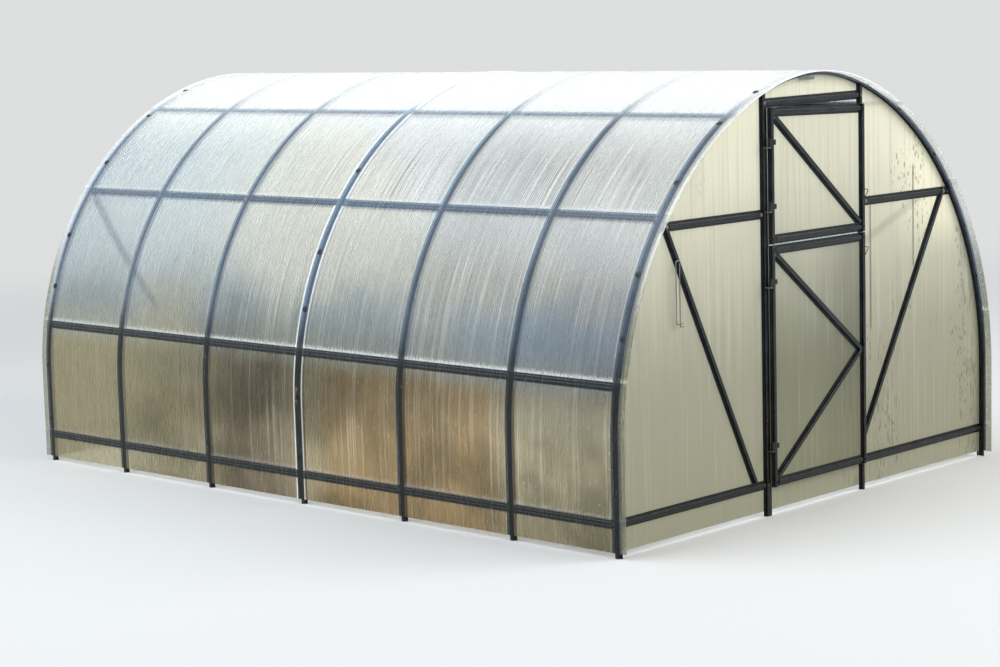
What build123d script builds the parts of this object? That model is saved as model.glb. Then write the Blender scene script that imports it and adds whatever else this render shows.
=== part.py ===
from build123d import *
import os
from math import acos, cos, degrees, radians, sin

# A walk-in garden greenhouse: seven bent steel hoops, straight purlins between them, twin-wall sheets
# bent over the roof, and a framed gable at each end. The front gable has a door in two leaves.
# Millimetres. X runs across the greenhouse, Y along it with the front gable towards -Y, Z up.
# The origin is on the ground, under the middle of the ridge.

# The hoop's line, measured on the outer face of its crown. Each shoulder is an arc whose centre lies past
# the middle of the greenhouse, and the arc over the ridge is tighter than the shoulders.
HOOP_HALF_WIDTH = 1471
LEG_HEIGHT = 480
SHOULDER_OVERREACH = 100
CROWN_TIGHTENING = 350

# The spacing of the hoops along the greenhouse
MIDDLE_BAY = 692
END_BAY = 616

# The folded hat profile of every hoop, purlin, post and rail
HAT_WIDTH = 43
HAT_CROWN = 18
HAT_DEPTH = 15
STEEL = 1

# The sheets
SHEET_THICKNESS = 4
ROOF_OVERHANG = 55
ROOF_OVERLAP = 60
ROOF_JOGGLE = 25
SHEET_FOOT = 25

# Where the purlins cross a hoop, measured round the hoop from its foot
PURLIN_GIRTHS = {"base_rail": 148, "low_purlin": 746, "middle_purlin": 1518, "high_purlin": 2165}

# The gable frame. A brace starts at a foot, given across and up from where the post crosses the base rail,
# and its line meets the middle rail at an inset from the hoop's leg.
POST_CENTRE = 385
BASE_RAIL_HEIGHT = 148
MIDDLE_RAIL_HEIGHT = 1402
LINTEL_BELOW_RIDGE = 127
LINTEL_RISE = 8
BRACE_TOP_INSET = 371
LEFT_BRACE_FOOT = (77, 0)
RIGHT_BRACE_FOOT = (15, 114)

# The door leaves, set against the middle lines of the posts and the edges of the rails
LEAF_LEFT_INSET = 8
LEAF_RIGHT_COVER = 3
LEAF_SILL_COVER = 34.5
LEAF_LINTEL_COVER = 2.5
LOWER_LEAF_TOP = 1257
LEAF_GAP = 6
UPPER_LEAF_FALL = 15
LEAF_CLEARANCE = 5

# The hinges: a pin on a lug of the post, and a knuckle on a strap of the leaf
PIN_RADIUS = 4
PIN_PLAY = 0.08
PIN_OFFSET = 8
KNUCKLE_WALL = 3.4
KNUCKLE_HEIGHT = 40
STRAP_LENGTH = 42
STRAP_HEIGHT = 24
STRAP_THICKNESS = 2
LUG_THICKNESS = 5
LUG_WIDTH = 11
HINGE_PLAY = 0.6
UPPER_HINGE_INSETS = (173, 158)
LOWER_HINGE_INSETS = (195, 167)

# The wire catches at the free edge of the leaves
CATCH_WIRE_RADIUS = 2
CATCH_REACH = 12
CATCH_HEIGHT = 42
CATCH_SHOULDER = 6
UPPER_CATCH_RISE = 179
LOWER_CATCH_DROP = 91

# The wind hook: two rods that hang side by side at the near edge of the near brace, the one in front of
# the other. For each rod, how far below the middle rail it starts, how far across it hangs from the
# brace's middle line, and how far its toe reaches towards the door.
HOOK_ROD_RADIUS = 2.5
HOOK_ROD_GAP = 1
HOOK_LENGTH = 280
HOOK_RODS = ((152, 26, 42), (164, 14, 25))
WIRE_SIDES = 8

# What seats on a curved face stays this far off it
SEAT = 0.3

# Places that follow from the sizes above
SHOULDER_RADIUS = HOOP_HALF_WIDTH + SHOULDER_OVERREACH
CROWN_RADIUS = SHOULDER_RADIUS - CROWN_TIGHTENING
SHOULDER_ANGLE = degrees(acos(SHOULDER_OVERREACH / CROWN_TIGHTENING))
CROWN_Z = LEG_HEIGHT + CROWN_TIGHTENING * sin(radians(SHOULDER_ANGLE))
RIDGE_HEIGHT = CROWN_Z + CROWN_RADIUS
GABLE_Y = 2 * MIDDLE_BAY + END_BAY
HOOP_PLACES = (-GABLE_Y, -2 * MIDDLE_BAY, -MIDDLE_BAY, 0, MIDDLE_BAY, 2 * MIDDLE_BAY, GABLE_Y)
HALF_HAT = HAT_WIDTH / 2
FRAME_FRONT = -GABLE_Y - HAT_DEPTH / 2
FRAME_BACK = FRAME_FRONT + HAT_DEPTH
LEAF_BACK = FRAME_FRONT - LEAF_CLEARANCE
LEAF_FRAME_BACK = LEAF_BACK - SHEET_THICKNESS
LEAF_FRONT = LEAF_FRAME_BACK - HAT_DEPTH
LINTEL_HEIGHT = RIDGE_HEIGHT - LINTEL_BELOW_RIDGE
BRACE_TOP_X = HOOP_HALF_WIDTH - BRACE_TOP_INSET
LEAF_LEFT = -POST_CENTRE + LEAF_LEFT_INSET
LEAF_RIGHT = POST_CENTRE + LEAF_RIGHT_COVER
LOWER_LEAF_BOTTOM = BASE_RAIL_HEIGHT + HALF_HAT - LEAF_SILL_COVER
UPPER_LEAF_BOTTOM = LOWER_LEAF_TOP + LEAF_GAP
UPPER_LEAF_TOP = LINTEL_HEIGHT - LINTEL_RISE / 2 - HALF_HAT + LEAF_LINTEL_COVER
UPPER_HINGES = (UPPER_LEAF_BOTTOM + UPPER_HINGE_INSETS[0], UPPER_LEAF_TOP - UPPER_HINGE_INSETS[1])
LOWER_HINGES = (LOWER_LEAF_BOTTOM + LOWER_HINGE_INSETS[0], LOWER_LEAF_TOP - LOWER_HINGE_INSETS[1])
HINGE_X = LEAF_LEFT - PIN_OFFSET
HINGE_Y = LEAF_FRONT - STRAP_THICKNESS
POST_INNER = POST_CENTRE - HALF_HAT
POST_OUTER = POST_CENTRE + HALF_HAT
FORWARD = (0, -1, 0)


def hoop_line(offset, foot=0):
    """The hoop's line moved outwards by offset, from the far foot over the ridge to the near foot."""
    half = HOOP_HALF_WIDTH + offset
    far_leg = Line((half, foot), (half, LEG_HEIGHT))
    far_shoulder = CenterArc((-SHOULDER_OVERREACH, LEG_HEIGHT), SHOULDER_RADIUS + offset, 0, SHOULDER_ANGLE)
    crown = CenterArc((0, CROWN_Z), CROWN_RADIUS + offset, SHOULDER_ANGLE, 180 - 2 * SHOULDER_ANGLE)
    near_shoulder = CenterArc(
        (SHOULDER_OVERREACH, LEG_HEIGHT), SHOULDER_RADIUS + offset, 180 - SHOULDER_ANGLE, SHOULDER_ANGLE
    )
    near_leg = Line((-half, LEG_HEIGHT), (-half, foot))
    return Plane.XZ * (far_leg + far_shoulder + crown + near_shoulder + near_leg)


def hat_points(open_side=True):
    """The corners of the hat profile: u across it, v from the crown's outer face at 0 down to the flanges."""
    half_crown = HAT_CROWN / 2
    hollow = half_crown - STEEL
    right = [
        (HALF_HAT, -HAT_DEPTH),
        (HALF_HAT, STEEL - HAT_DEPTH),
        (half_crown, STEEL - HAT_DEPTH),
        (half_crown, 0),
    ]
    left = [(-u, v) for u, v in reversed(right)]
    groove = [(-hollow, -HAT_DEPTH), (-hollow, -STEEL), (hollow, -STEEL), (hollow, -HAT_DEPTH)]
    return right + left + groove if open_side else right + left


def closed_face(points):
    """A flat face inside a closed run of straight edges."""
    return make_face(Polyline(*points, close=True))


def bent_over(points, foot=0):
    """A profile given as (y, outward) points, carried along the hoop's line from foot to foot."""
    path = Wire(hoop_line(0, foot).edges())
    section = closed_face([(HOOP_HALF_WIDTH + out, y, foot) for y, out in points])
    return sweep(section, path=path)


def hoop(y):
    """One hoop of hat profile, its crown outwards, standing on the ground."""
    return Pos(0, y, 0) * bent_over(hat_points(open_side=False))


def along(points, start, end, outward):
    """A profile carried straight from start to end, which lie on the middle of its outer face."""
    run = Vector(*end) - Vector(*start)
    plane = Plane(origin=start, x_dir=Vector(*outward).cross(run), z_dir=run)
    return extrude(plane * closed_face(points), run.length)


def bar(start, end, outward=FORWARD):
    """A straight length of the hat profile."""
    return along(hat_points(), start, end, outward)


def bar_room(start, end, outward=FORWARD):
    """The whole space that a straight length of the hat profile takes up."""
    corners = [(HALF_HAT, -HAT_DEPTH), (HALF_HAT, 0), (-HALF_HAT, 0), (-HALF_HAT, -HAT_DEPTH)]
    return along(corners, start, end, outward)


def girth_place(girth):
    """The far side's point and outward angle on the hoop's line, at a distance round it from the foot."""
    if girth <= LEG_HEIGHT:
        return HOOP_HALF_WIDTH, girth, 0
    angle = (girth - LEG_HEIGHT) / SHOULDER_RADIUS
    return (
        SHOULDER_RADIUS * cos(angle) - SHOULDER_OVERREACH,
        LEG_HEIGHT + SHOULDER_RADIUS * sin(angle),
        angle,
    )


def purlin(x, z, angle):
    """A purlin: one length of hat profile between each two hoops, flush with their crowns."""
    outward = (cos(angle), 0, sin(angle))
    lengths = []
    for first, second in zip(HOOP_PLACES, HOOP_PLACES[1:]):
        lengths.append(bar((x, first + HALF_HAT, z), (x, second - HALF_HAT, z), outward))
    return Compound(children=lengths)


def interior(y_from, y_to, low=0, offset=-HAT_DEPTH - SEAT):
    """The space inside the hoops between two planes across the greenhouse, above a height."""
    line = hoop_line(offset, low)
    half = HOOP_HALF_WIDTH + offset
    floor = Plane.XZ * Line((-half, low), (half, low))
    face = make_face(Wire((line + floor).edges()))
    return extrude(Pos(0, y_from, 0) * face, y_to - y_from, dir=(0, 1, 0))


def block(x_from, x_to, y_from, y_to, z_from, z_to):
    """A square-edged block between pairs of planes."""
    size = (x_to - x_from, y_to - y_from, z_to - z_from)
    middle = ((x_from + x_to) / 2, (y_from + y_to) / 2, (z_from + z_to) / 2)
    return Pos(*middle) * Box(*size)


def roof_sheet(lapped):
    """A roof sheet from its eave end to the lap at the middle hoop; the lapped one steps over the other."""
    outer_end = -GABLE_Y - ROOF_OVERHANG
    lap_end = ROOF_OVERLAP / 2
    low = SEAT
    top = SEAT + SHEET_THICKNESS
    if not lapped:
        points = [(outer_end, low), (lap_end, low), (lap_end, top), (outer_end, top)]
    else:
        step = SHEET_THICKNESS + SEAT
        lap_start = -lap_end - SEAT
        points = [
            (outer_end, low),
            (lap_start - ROOF_JOGGLE, low),
            (lap_start, low + step),
            (lap_end, low + step),
            (lap_end, top + step),
            (lap_start, top + step),
            (lap_start - ROOF_JOGGLE, top),
            (outer_end, top),
        ]
    return bent_over(points, SHEET_FOOT)


def gable_sheet(x_from, x_to, z_from):
    """The flat sheet behind the gable frame, cut to the hoop's inner line and to the frame's middle lines."""
    inside = interior(FRAME_BACK, FRAME_BACK + SHEET_THICKNESS, SHEET_FOOT)
    return inside & block(x_from, x_to, FRAME_BACK, FRAME_BACK + SHEET_THICKNESS, z_from, RIDGE_HEIGHT)


def frame_bar(start, end):
    """A gable bar between two (x, z) places, cut to the inner line of the end hoop."""
    whole = bar((start[0], FRAME_FRONT, start[1]), (end[0], FRAME_FRONT, end[1]))
    return whole & interior(FRAME_FRONT, FRAME_BACK)


def post(x):
    """A gable post from the ground to the inner face of the end hoop."""
    return frame_bar((x, 0), (x, RIDGE_HEIGHT))


def level_rail(z, x_from, x_to):
    """A level gable rail between two planes."""
    return frame_bar((x_from, z), (x_to, z))


def lintel(rise):
    """The rail over the doorway, from post to post, a little higher at its right end."""
    whole = frame_bar((-POST_CENTRE, LINTEL_HEIGHT - rise / 2), (POST_CENTRE, LINTEL_HEIGHT + rise / 2))
    return whole & block(-POST_INNER, POST_INNER, FRAME_FRONT, FRAME_BACK, LINTEL_HEIGHT / 2, RIDGE_HEIGHT)


def brace_ends(side, foot):
    """The ends of a side panel's brace, drawn on past the rail above it and the post or rail below it."""
    foot_x = side * (POST_CENTRE + foot[0])
    foot_z = BASE_RAIL_HEIGHT + foot[1]
    top_x, top_z = side * BRACE_TOP_X, MIDDLE_RAIL_HEIGHT
    lean = (top_x - foot_x) / (top_z - foot_z)
    ends = []
    for z in (foot_z - HAT_WIDTH, top_z + HAT_WIDTH):
        ends.append((foot_x + lean * (z - foot_z), FRAME_FRONT, z))
    return ends


def gable_brace(side, foot):
    """The slanting brace of a side panel; it runs past the middle rail and ends at its upper edge."""
    near, far = sorted((side * POST_OUTER, side * HOOP_HALF_WIDTH))
    low = BASE_RAIL_HEIGHT + HALF_HAT
    high = MIDDLE_RAIL_HEIGHT + HALF_HAT
    panel = interior(FRAME_FRONT, FRAME_BACK) & block(near, far, FRAME_FRONT, FRAME_BACK, low, high)
    return bar(*brace_ends(side, foot)) & panel


def side_rail(side, foot):
    """The middle rail of a side panel, cut away where the brace runs through it."""
    near, far = sorted((side * POST_OUTER, side * HOOP_HALF_WIDTH))
    return level_rail(MIDDLE_RAIL_HEIGHT, near, far) - bar_room(*brace_ends(side, foot))


def base_rails():
    """The rails along the ground of a gable: one under the door and one each side of it."""
    spans = ((-HOOP_HALF_WIDTH, -POST_OUTER), (-POST_INNER, POST_INNER), (POST_OUTER, HOOP_HALF_WIDTH))
    return Compound(children=[level_rail(BASE_RAIL_HEIGHT, *span) for span in spans])


def leaf_space(bottom, top, fall, y_from, y_to, inset=0):
    """The outline of a leaf between two planes; its top edge falls towards the free edge."""
    left = LEAF_LEFT + inset
    right = LEAF_RIGHT - inset
    early_fall = fall * inset / (LEAF_RIGHT - LEAF_LEFT)
    outline = [
        (left, y_from, bottom + inset),
        (right, y_from, bottom + inset),
        (right, y_from, top - fall + early_fall - inset),
        (left, y_from, top - early_fall - inset),
    ]
    return extrude(closed_face(outline), y_to - y_from, dir=(0, 1, 0))


def leaf_bar(start, end):
    """A length of the hat profile in the plane of the door leaves, between two (x, z) places."""
    return bar((start[0], LEAF_FRONT, start[1]), (end[0], LEAF_FRONT, end[1]))


def leaf_frame(bottom, top, fall):
    """The four edge rails of a door leaf, joined at its corners."""
    stiles = []
    for x in (LEAF_LEFT + HALF_HAT, LEAF_RIGHT - HALF_HAT):
        stiles.append(leaf_bar((x, bottom), (x, top)))
    rails = []
    for start_z, end_z in ((bottom + HALF_HAT, bottom + HALF_HAT), (top - HALF_HAT, top - HALF_HAT - fall)):
        rails.append(leaf_bar((LEAF_LEFT, start_z), (LEAF_RIGHT, end_z)))
    between = block(
        LEAF_LEFT + HAT_WIDTH, LEAF_RIGHT - HAT_WIDTH, LEAF_FRONT, LEAF_FRAME_BACK, bottom, top
    )
    whole = stiles[0] + stiles[1] + (rails[0] & between) + (rails[1] & between)
    return whole & leaf_space(bottom, top, fall, LEAF_FRONT, LEAF_FRAME_BACK)


def leaf_brace(start, end, low, high):
    """A slanting brace of a leaf, cut to the inside of its frame and between two heights."""
    inside = block(LEAF_LEFT + HAT_WIDTH, LEAF_RIGHT - HAT_WIDTH, LEAF_FRONT, LEAF_FRAME_BACK, low, high)
    return leaf_bar(start, end) & inside


def leaf_sheet(bottom, top, fall):
    """The flat sheet behind a leaf's frame."""
    return leaf_space(bottom, top, fall, LEAF_FRAME_BACK, LEAF_BACK)


def leaf_hinge(z):
    """The strap and knuckle on a leaf; the knuckle stands on the lug of the post."""
    outer = PIN_RADIUS + PIN_PLAY + KNUCKLE_WALL
    knuckle = Pos(HINGE_X, HINGE_Y, z) * Cylinder(outer, KNUCKLE_HEIGHT)
    strap = block(
        HINGE_X, LEAF_LEFT + STRAP_LENGTH, HINGE_Y, HINGE_Y + STRAP_THICKNESS,
        z - STRAP_HEIGHT / 2, z + STRAP_HEIGHT / 2,
    )
    bore = Pos(HINGE_X, HINGE_Y, z) * Cylinder(PIN_RADIUS + PIN_PLAY, KNUCKLE_HEIGHT)
    return knuckle + strap - bore


def bent_wire(radius, corners):
    """A wire carried along straight runs with mitred corners."""
    route = Polyline(*corners)
    start = Plane(origin=corners[0], z_dir=Vector(*corners[1]) - Vector(*corners[0]))
    return sweep(start * RegularPolygon(radius, WIRE_SIDES), path=route, transition=Transition.RIGHT)


def leaf_catch(z):
    """The three-cornered wire catch on the crown of a leaf's free stile; its point reaches past the edge."""
    y = LEAF_FRONT - CATCH_WIRE_RADIUS / 2
    root = LEAF_RIGHT - HALF_HAT
    tip = LEAF_RIGHT + CATCH_REACH
    corners = [
        (root, y, z + CATCH_HEIGHT / 2),
        (tip - CATCH_SHOULDER, y, z + CATCH_HEIGHT / 2),
        (tip, y, z + CATCH_HEIGHT / 2 - CATCH_SHOULDER),
        (root, y, z - CATCH_HEIGHT / 2),
    ]
    return bent_wire(CATCH_WIRE_RADIUS, corners)


def hinge_pin(z):
    """The lug on the post's crown and the pin that stands on it through the knuckle."""
    lug_top = z - KNUCKLE_HEIGHT / 2 - HINGE_PLAY
    eye = PIN_RADIUS + KNUCKLE_WALL
    crown_edge = -POST_CENTRE - HAT_CROWN / 2
    outline = [
        (crown_edge + LUG_WIDTH, FRAME_FRONT),
        (crown_edge, FRAME_FRONT),
        (HINGE_X - eye, HINGE_Y),
        (HINGE_X - eye / 2, HINGE_Y - eye),
        (HINGE_X + eye / 2, HINGE_Y - eye),
        (HINGE_X + eye, HINGE_Y),
    ]
    lug = extrude(Pos(0, 0, lug_top - LUG_THICKNESS) * closed_face(outline), LUG_THICKNESS, dir=(0, 0, 1))
    height = KNUCKLE_HEIGHT + HINGE_PLAY
    return lug + Pos(HINGE_X, HINGE_Y, lug_top + height / 2) * Cylinder(PIN_RADIUS, height)


def wind_hook():
    """Two thin rods that hang on the crown of the near brace, their toes turned towards the door."""
    foot, top = brace_ends(-1, LEFT_BRACE_FOOT)
    y = FRAME_FRONT - 2 * HOOK_ROD_RADIUS
    rods = []
    for drop, across, toe in HOOK_RODS:
        rod_top = MIDDLE_RAIL_HEIGHT - drop
        x = foot[0] + (top[0] - foot[0]) * (rod_top - foot[2]) / (top[2] - foot[2])
        corners = [
            (x, FRAME_FRONT, rod_top),
            (x, y, rod_top),
            (x - across, y, rod_top),
            (x - across, y, rod_top - HOOK_LENGTH),
            (x - across + toe, y, rod_top - HOOK_LENGTH),
        ]
        rods.append(bent_wire(HOOK_ROD_RADIUS, corners))
        y -= 2 * HOOK_ROD_RADIUS + HOOK_ROD_GAP
    return Compound(rods)


def at_back(shape):
    """The same piece at the back gable."""
    return mirror(shape, about=Plane.XZ)


parts = {}

# Hoops, from the front gable to the back
hoop_names = ("front_hoop", "hoop_2", "hoop_3", "hoop_4", "hoop_5", "hoop_6", "back_hoop")
for name, place in zip(hoop_names, HOOP_PLACES):
    parts[name] = hoop(place)

# Purlins, and the rails at the base of the long sides
for name, girth in PURLIN_GIRTHS.items():
    far_x, far_z, lean = girth_place(girth)
    parts["far_" + name] = purlin(far_x, far_z, lean)
    parts["near_" + name] = mirror(parts["far_" + name], about=Plane.YZ)
parts["ridge_purlin"] = purlin(0, RIDGE_HEIGHT, radians(90))

# Roof sheets, lapped at the middle hoop
parts["front_roof_sheet"] = roof_sheet(True)
parts["back_roof_sheet"] = at_back(roof_sheet(False))

# The frame of the front gable
parts["front_left_post"] = post(-POST_CENTRE)
parts["front_right_post"] = post(POST_CENTRE)
parts["front_lintel"] = lintel(LINTEL_RISE)
parts["front_base_rails"] = base_rails()
for side, label, foot in ((-1, "left", LEFT_BRACE_FOOT), (1, "right", RIGHT_BRACE_FOOT)):
    parts["front_" + label + "_rail"] = side_rail(side, foot)
    parts["front_" + label + "_brace"] = gable_brace(side, foot)

# The back gable repeats that frame
parts["back_posts"] = Compound(children=[at_back(post(side * POST_CENTRE)) for side in (-1, 1)])
parts["back_top_rail"] = at_back(lintel(0))
parts["back_middle_rails"] = Compound(
    children=[at_back(solid) for label in ("left", "right") for solid in parts["front_" + label + "_rail"].solids()]
)
parts["back_braces"] = Compound(children=[at_back(parts["front_" + label + "_brace"]) for label in ("left", "right")])
parts["back_base_rails"] = at_back(base_rails())

# Gable sheets
parts["front_left_sheet"] = gable_sheet(-HOOP_HALF_WIDTH, -POST_CENTRE, 0)
parts["front_right_sheet"] = gable_sheet(POST_CENTRE, HOOP_HALF_WIDTH, 0)
parts["front_top_sheet"] = gable_sheet(-POST_CENTRE, POST_CENTRE, LINTEL_HEIGHT)
parts["front_sill_sheet"] = block(
    -POST_CENTRE, POST_CENTRE, FRAME_BACK, FRAME_BACK + SHEET_THICKNESS, SHEET_FOOT, BASE_RAIL_HEIGHT
)
parts["back_gable_sheet"] = at_back(gable_sheet(-HOOP_HALF_WIDTH, HOOP_HALF_WIDTH, 0))

# The door leaves
leaves = {
    "upper": (UPPER_LEAF_BOTTOM, UPPER_LEAF_TOP, UPPER_LEAF_FALL, UPPER_HINGES,
              UPPER_LEAF_BOTTOM + UPPER_CATCH_RISE),
    "lower": (LOWER_LEAF_BOTTOM, LOWER_LEAF_TOP, 0, LOWER_HINGES,
              LOWER_LEAF_TOP - LOWER_CATCH_DROP),
}
for leaf, (bottom, top, fall, hinge_heights, catch_height) in leaves.items():
    frame = leaf_frame(bottom, top, fall) + leaf_catch(catch_height)
    for z in hinge_heights:
        frame += leaf_hinge(z)
    parts[leaf + "_leaf_frame"] = frame
    parts[leaf + "_leaf_sheet"] = leaf_sheet(bottom, top, fall)

# One brace in the upper leaf, and two that meet at the free stile in the lower one
brace_left = LEAF_LEFT + HAT_WIDTH
brace_right = LEAF_RIGHT - HAT_WIDTH
upper_low = UPPER_LEAF_BOTTOM + HAT_WIDTH
upper_high = UPPER_LEAF_TOP - HAT_WIDTH
parts["upper_leaf_brace"] = leaf_brace((brace_left, upper_high), (brace_right, upper_low), upper_low, upper_high) & (
    leaf_space(UPPER_LEAF_BOTTOM, UPPER_LEAF_TOP, UPPER_LEAF_FALL, LEAF_FRONT, LEAF_FRAME_BACK, HAT_WIDTH)
)
lower_low = LOWER_LEAF_BOTTOM + HAT_WIDTH
lower_high = LOWER_LEAF_TOP - HAT_WIDTH
lower_middle = (lower_low + lower_high) / 2
parts["lower_leaf_braces"] = Compound(
    children=[
        leaf_brace((brace_left, lower_high), (brace_right, lower_middle), lower_middle + SEAT, lower_high),
        leaf_brace((brace_left, lower_low), (brace_right, lower_middle), lower_low, lower_middle - SEAT),
    ]
)

# What the left post and the near brace carry in front of the gable
parts["door_hinge_pins"] = Compound(children=[hinge_pin(z) for z in UPPER_HINGES + LOWER_HINGES])
parts["wind_hook"] = wind_hook()

os.makedirs("parts", exist_ok=True)
for name, shape in parts.items():
    export_step(shape, "parts/" + name + ".step")
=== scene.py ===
import math
from functools import reduce
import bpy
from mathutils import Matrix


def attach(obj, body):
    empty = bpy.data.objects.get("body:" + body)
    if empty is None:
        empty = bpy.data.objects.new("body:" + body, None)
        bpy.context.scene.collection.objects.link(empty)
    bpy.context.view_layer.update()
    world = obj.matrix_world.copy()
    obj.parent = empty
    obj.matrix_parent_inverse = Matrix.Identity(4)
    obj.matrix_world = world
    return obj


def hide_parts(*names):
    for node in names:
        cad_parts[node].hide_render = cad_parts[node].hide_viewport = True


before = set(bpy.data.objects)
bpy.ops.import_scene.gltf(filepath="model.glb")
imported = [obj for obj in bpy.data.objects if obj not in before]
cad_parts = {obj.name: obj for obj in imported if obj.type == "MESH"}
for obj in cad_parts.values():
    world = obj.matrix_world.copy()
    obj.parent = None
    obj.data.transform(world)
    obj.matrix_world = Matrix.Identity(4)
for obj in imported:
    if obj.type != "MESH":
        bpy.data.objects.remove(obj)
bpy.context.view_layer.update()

from types import SimpleNamespace

import bpy
import numpy as np
from mathutils import Matrix, Vector

# A polycarbonate greenhouse: folded steel hoops and purlins under two bent roof sheets, and framed gables.
# Metres. X across, Y along with the door gable towards -Y, Z up, as in the frame.

# The hoop's line, on the outer face of its crown
HALF_WIDTH = 1.471
LEG = 0.480
OVERREACH = 0.100
TIGHTENING = 0.350
SHOULDER = HALF_WIDTH + OVERREACH
CROWN = SHOULDER - TIGHTENING
TURN = math.acos(OVERREACH / TIGHTENING)
CROWN_Z = LEG + TIGHTENING * math.sin(TURN)
RIDGE = CROWN_Z + CROWN
HALF_GIRTH = LEG + SHOULDER * TURN + CROWN * (math.pi / 2 - TURN)
HOOP_STATIONS = 132

# Where the hoops stand along Y, and how far round them from the foot each purlin lies
HOOPS = (-2.0, -1.384, -0.692, 0.0, 0.692, 1.384, 2.0)
HOOP_NAMES = ("front_hoop", "hoop_2", "hoop_3", "hoop_4", "hoop_5", "hoop_6", "back_hoop")
PURLINS = {"base_rail": 0.148, "low_purlin": 0.746, "middle_purlin": 1.518, "high_purlin": 2.165}

# The folded hat strip: half its width, half its crown, its depth, its thickness and the radius of its folds.
# The flats start FLAT_FROM radii from a corner, and FOLD_TURNS are the degrees at which a fold has points.
HAT = 0.0215
HAT_CROWN = 0.009
HAT_DEPTH = 0.015
STEEL = 0.001
FOLD = 0.0016
FLAT_FROM = 2.2
FOLD_TURNS = (30, 60)
UV_STEP = 0.004

# The sheets
SHEET = 0.004
SEAT = 0.0003
ROOF_OVERHANG = 0.055
LAP = 0.030
JOGGLE = 0.025
SHEET_FOOT = 0.025
SWELL = (0.0004, 0.0020)
SWELL_CLEARANCE = 0.0002

# The front gable
FRAME_FRONT = -2.0075
POST = 0.385
BASE_RAIL = 0.148
MIDDLE_RAIL = 1.402
LINTEL = 1.9094
LINTEL_RISE = 0.008
BRACE_TOP = 1.100
DOOR_STOP_TOP = 1.900
LEFT_FOOT = (0.462, 0.148)
RIGHT_FOOT = (0.400, 0.262)

# The door leaves: their bottom, top and the fall of their top edge, their hinges and their catches
LEAF_LEFT = -0.377
LEAF_RIGHT = 0.388
LEAF_FRONT = -2.0315
LEAVES = {"upper": (1.263, 1.8864, 0.015), "lower": (0.135, 1.257, 0.0)}
HINGE_X, HINGE_Y = -0.385, -2.0335
KNUCKLE, KNUCKLE_BORE, KNUCKLE_HALF = 0.00748, 0.00408, 0.020
PIN = 0.004
HINGES = {"upper": (1.436, 1.7284), "lower": (0.330, 1.090)}
CATCHES = {"upper": 1.442, "lower": 1.166}

# The wind hook's two rods: how far each stands off the brace, starts below the rail, reaches aside and
# turns back at its foot
HOOK_RODS = ((0.005, 0.152, 0.026, 0.042), (0.011, 0.164, 0.014, 0.025))
HOOK_LENGTH = 0.280
HOOK_BEND = 0.008
ROD = 0.0025

# The screws along the hoops, as distances round them. The middle hoop's two lowest are only a colour, and it
# has none beyond MIDDLE_SCREWS_END.
SCREWS = (0.230, 0.524, 0.953, 1.243, 1.710, 2.100, 2.399)
DRAWN_SCREWS = SCREWS[:2]
MIDDLE_SCREWS_END = 2.0
SCREW_ROWS = [(-0.0005, 0.0150), (0.0007, 0.0150), (0.0014, 0.0125), (0.0016, 0.0055), (0.0036, 0.0052),
              (0.0040, 0.0035)]

# The catch bolts on the right post, and the plate that joins the front hoop's halves, as (x, x, z, z)
CATCH_BOLTS = (1.306, 1.241)
RIDGE_PLATE = (-0.112, 0.002, 2.000, 2.013)


def hoop_place(girth, out=0.0):
    """Points on the hoop's line, a distance round it from the far foot, moved outwards.
    The leg is x = half width, the shoulder x = R cos a - overreach, z = leg + R sin a, the crown x = r cos a,
    z = crown centre + r sin a; past the ridge x changes sign. Gives x, z and the outward direction."""
    g = np.minimum(girth, 2 * HALF_GIRTH - girth)
    side = np.where(girth <= HALF_GIRTH, 1.0, -1.0)
    on_leg = g < LEG
    shoulder_turn = (g - LEG) / SHOULDER
    on_crown = shoulder_turn > TURN
    crown_turn = TURN + (g - LEG - SHOULDER * TURN) / CROWN
    a = np.where(on_leg, 0.0, np.where(on_crown, crown_turn, shoulder_turn))
    x = np.where(on_leg, HALF_WIDTH + out, np.where(
        on_crown, (CROWN + out) * np.cos(a), (SHOULDER + out) * np.cos(a) - OVERREACH))
    z = np.where(on_leg, g, np.where(
        on_crown, CROWN_Z + (CROWN + out) * np.sin(a), LEG + (SHOULDER + out) * np.sin(a)))
    return side * x, z, side * np.cos(a), np.sin(a)


def hoop_depth(x, z):
    """How far inside the hoop's line a point lies: half width less |x| on the leg, and the arc's radius less
    the distance from its centre above."""
    across = np.abs(x)
    shoulder = SHOULDER - np.hypot(across + OVERREACH, z - LEG)
    crown = CROWN - np.hypot(across, z - CROWN_Z)
    on_crown = np.arctan2(z - LEG, across + OVERREACH) > TURN
    return np.where(z < LEG, HALF_WIDTH - across, np.where(on_crown, crown, shoulder))


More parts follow.
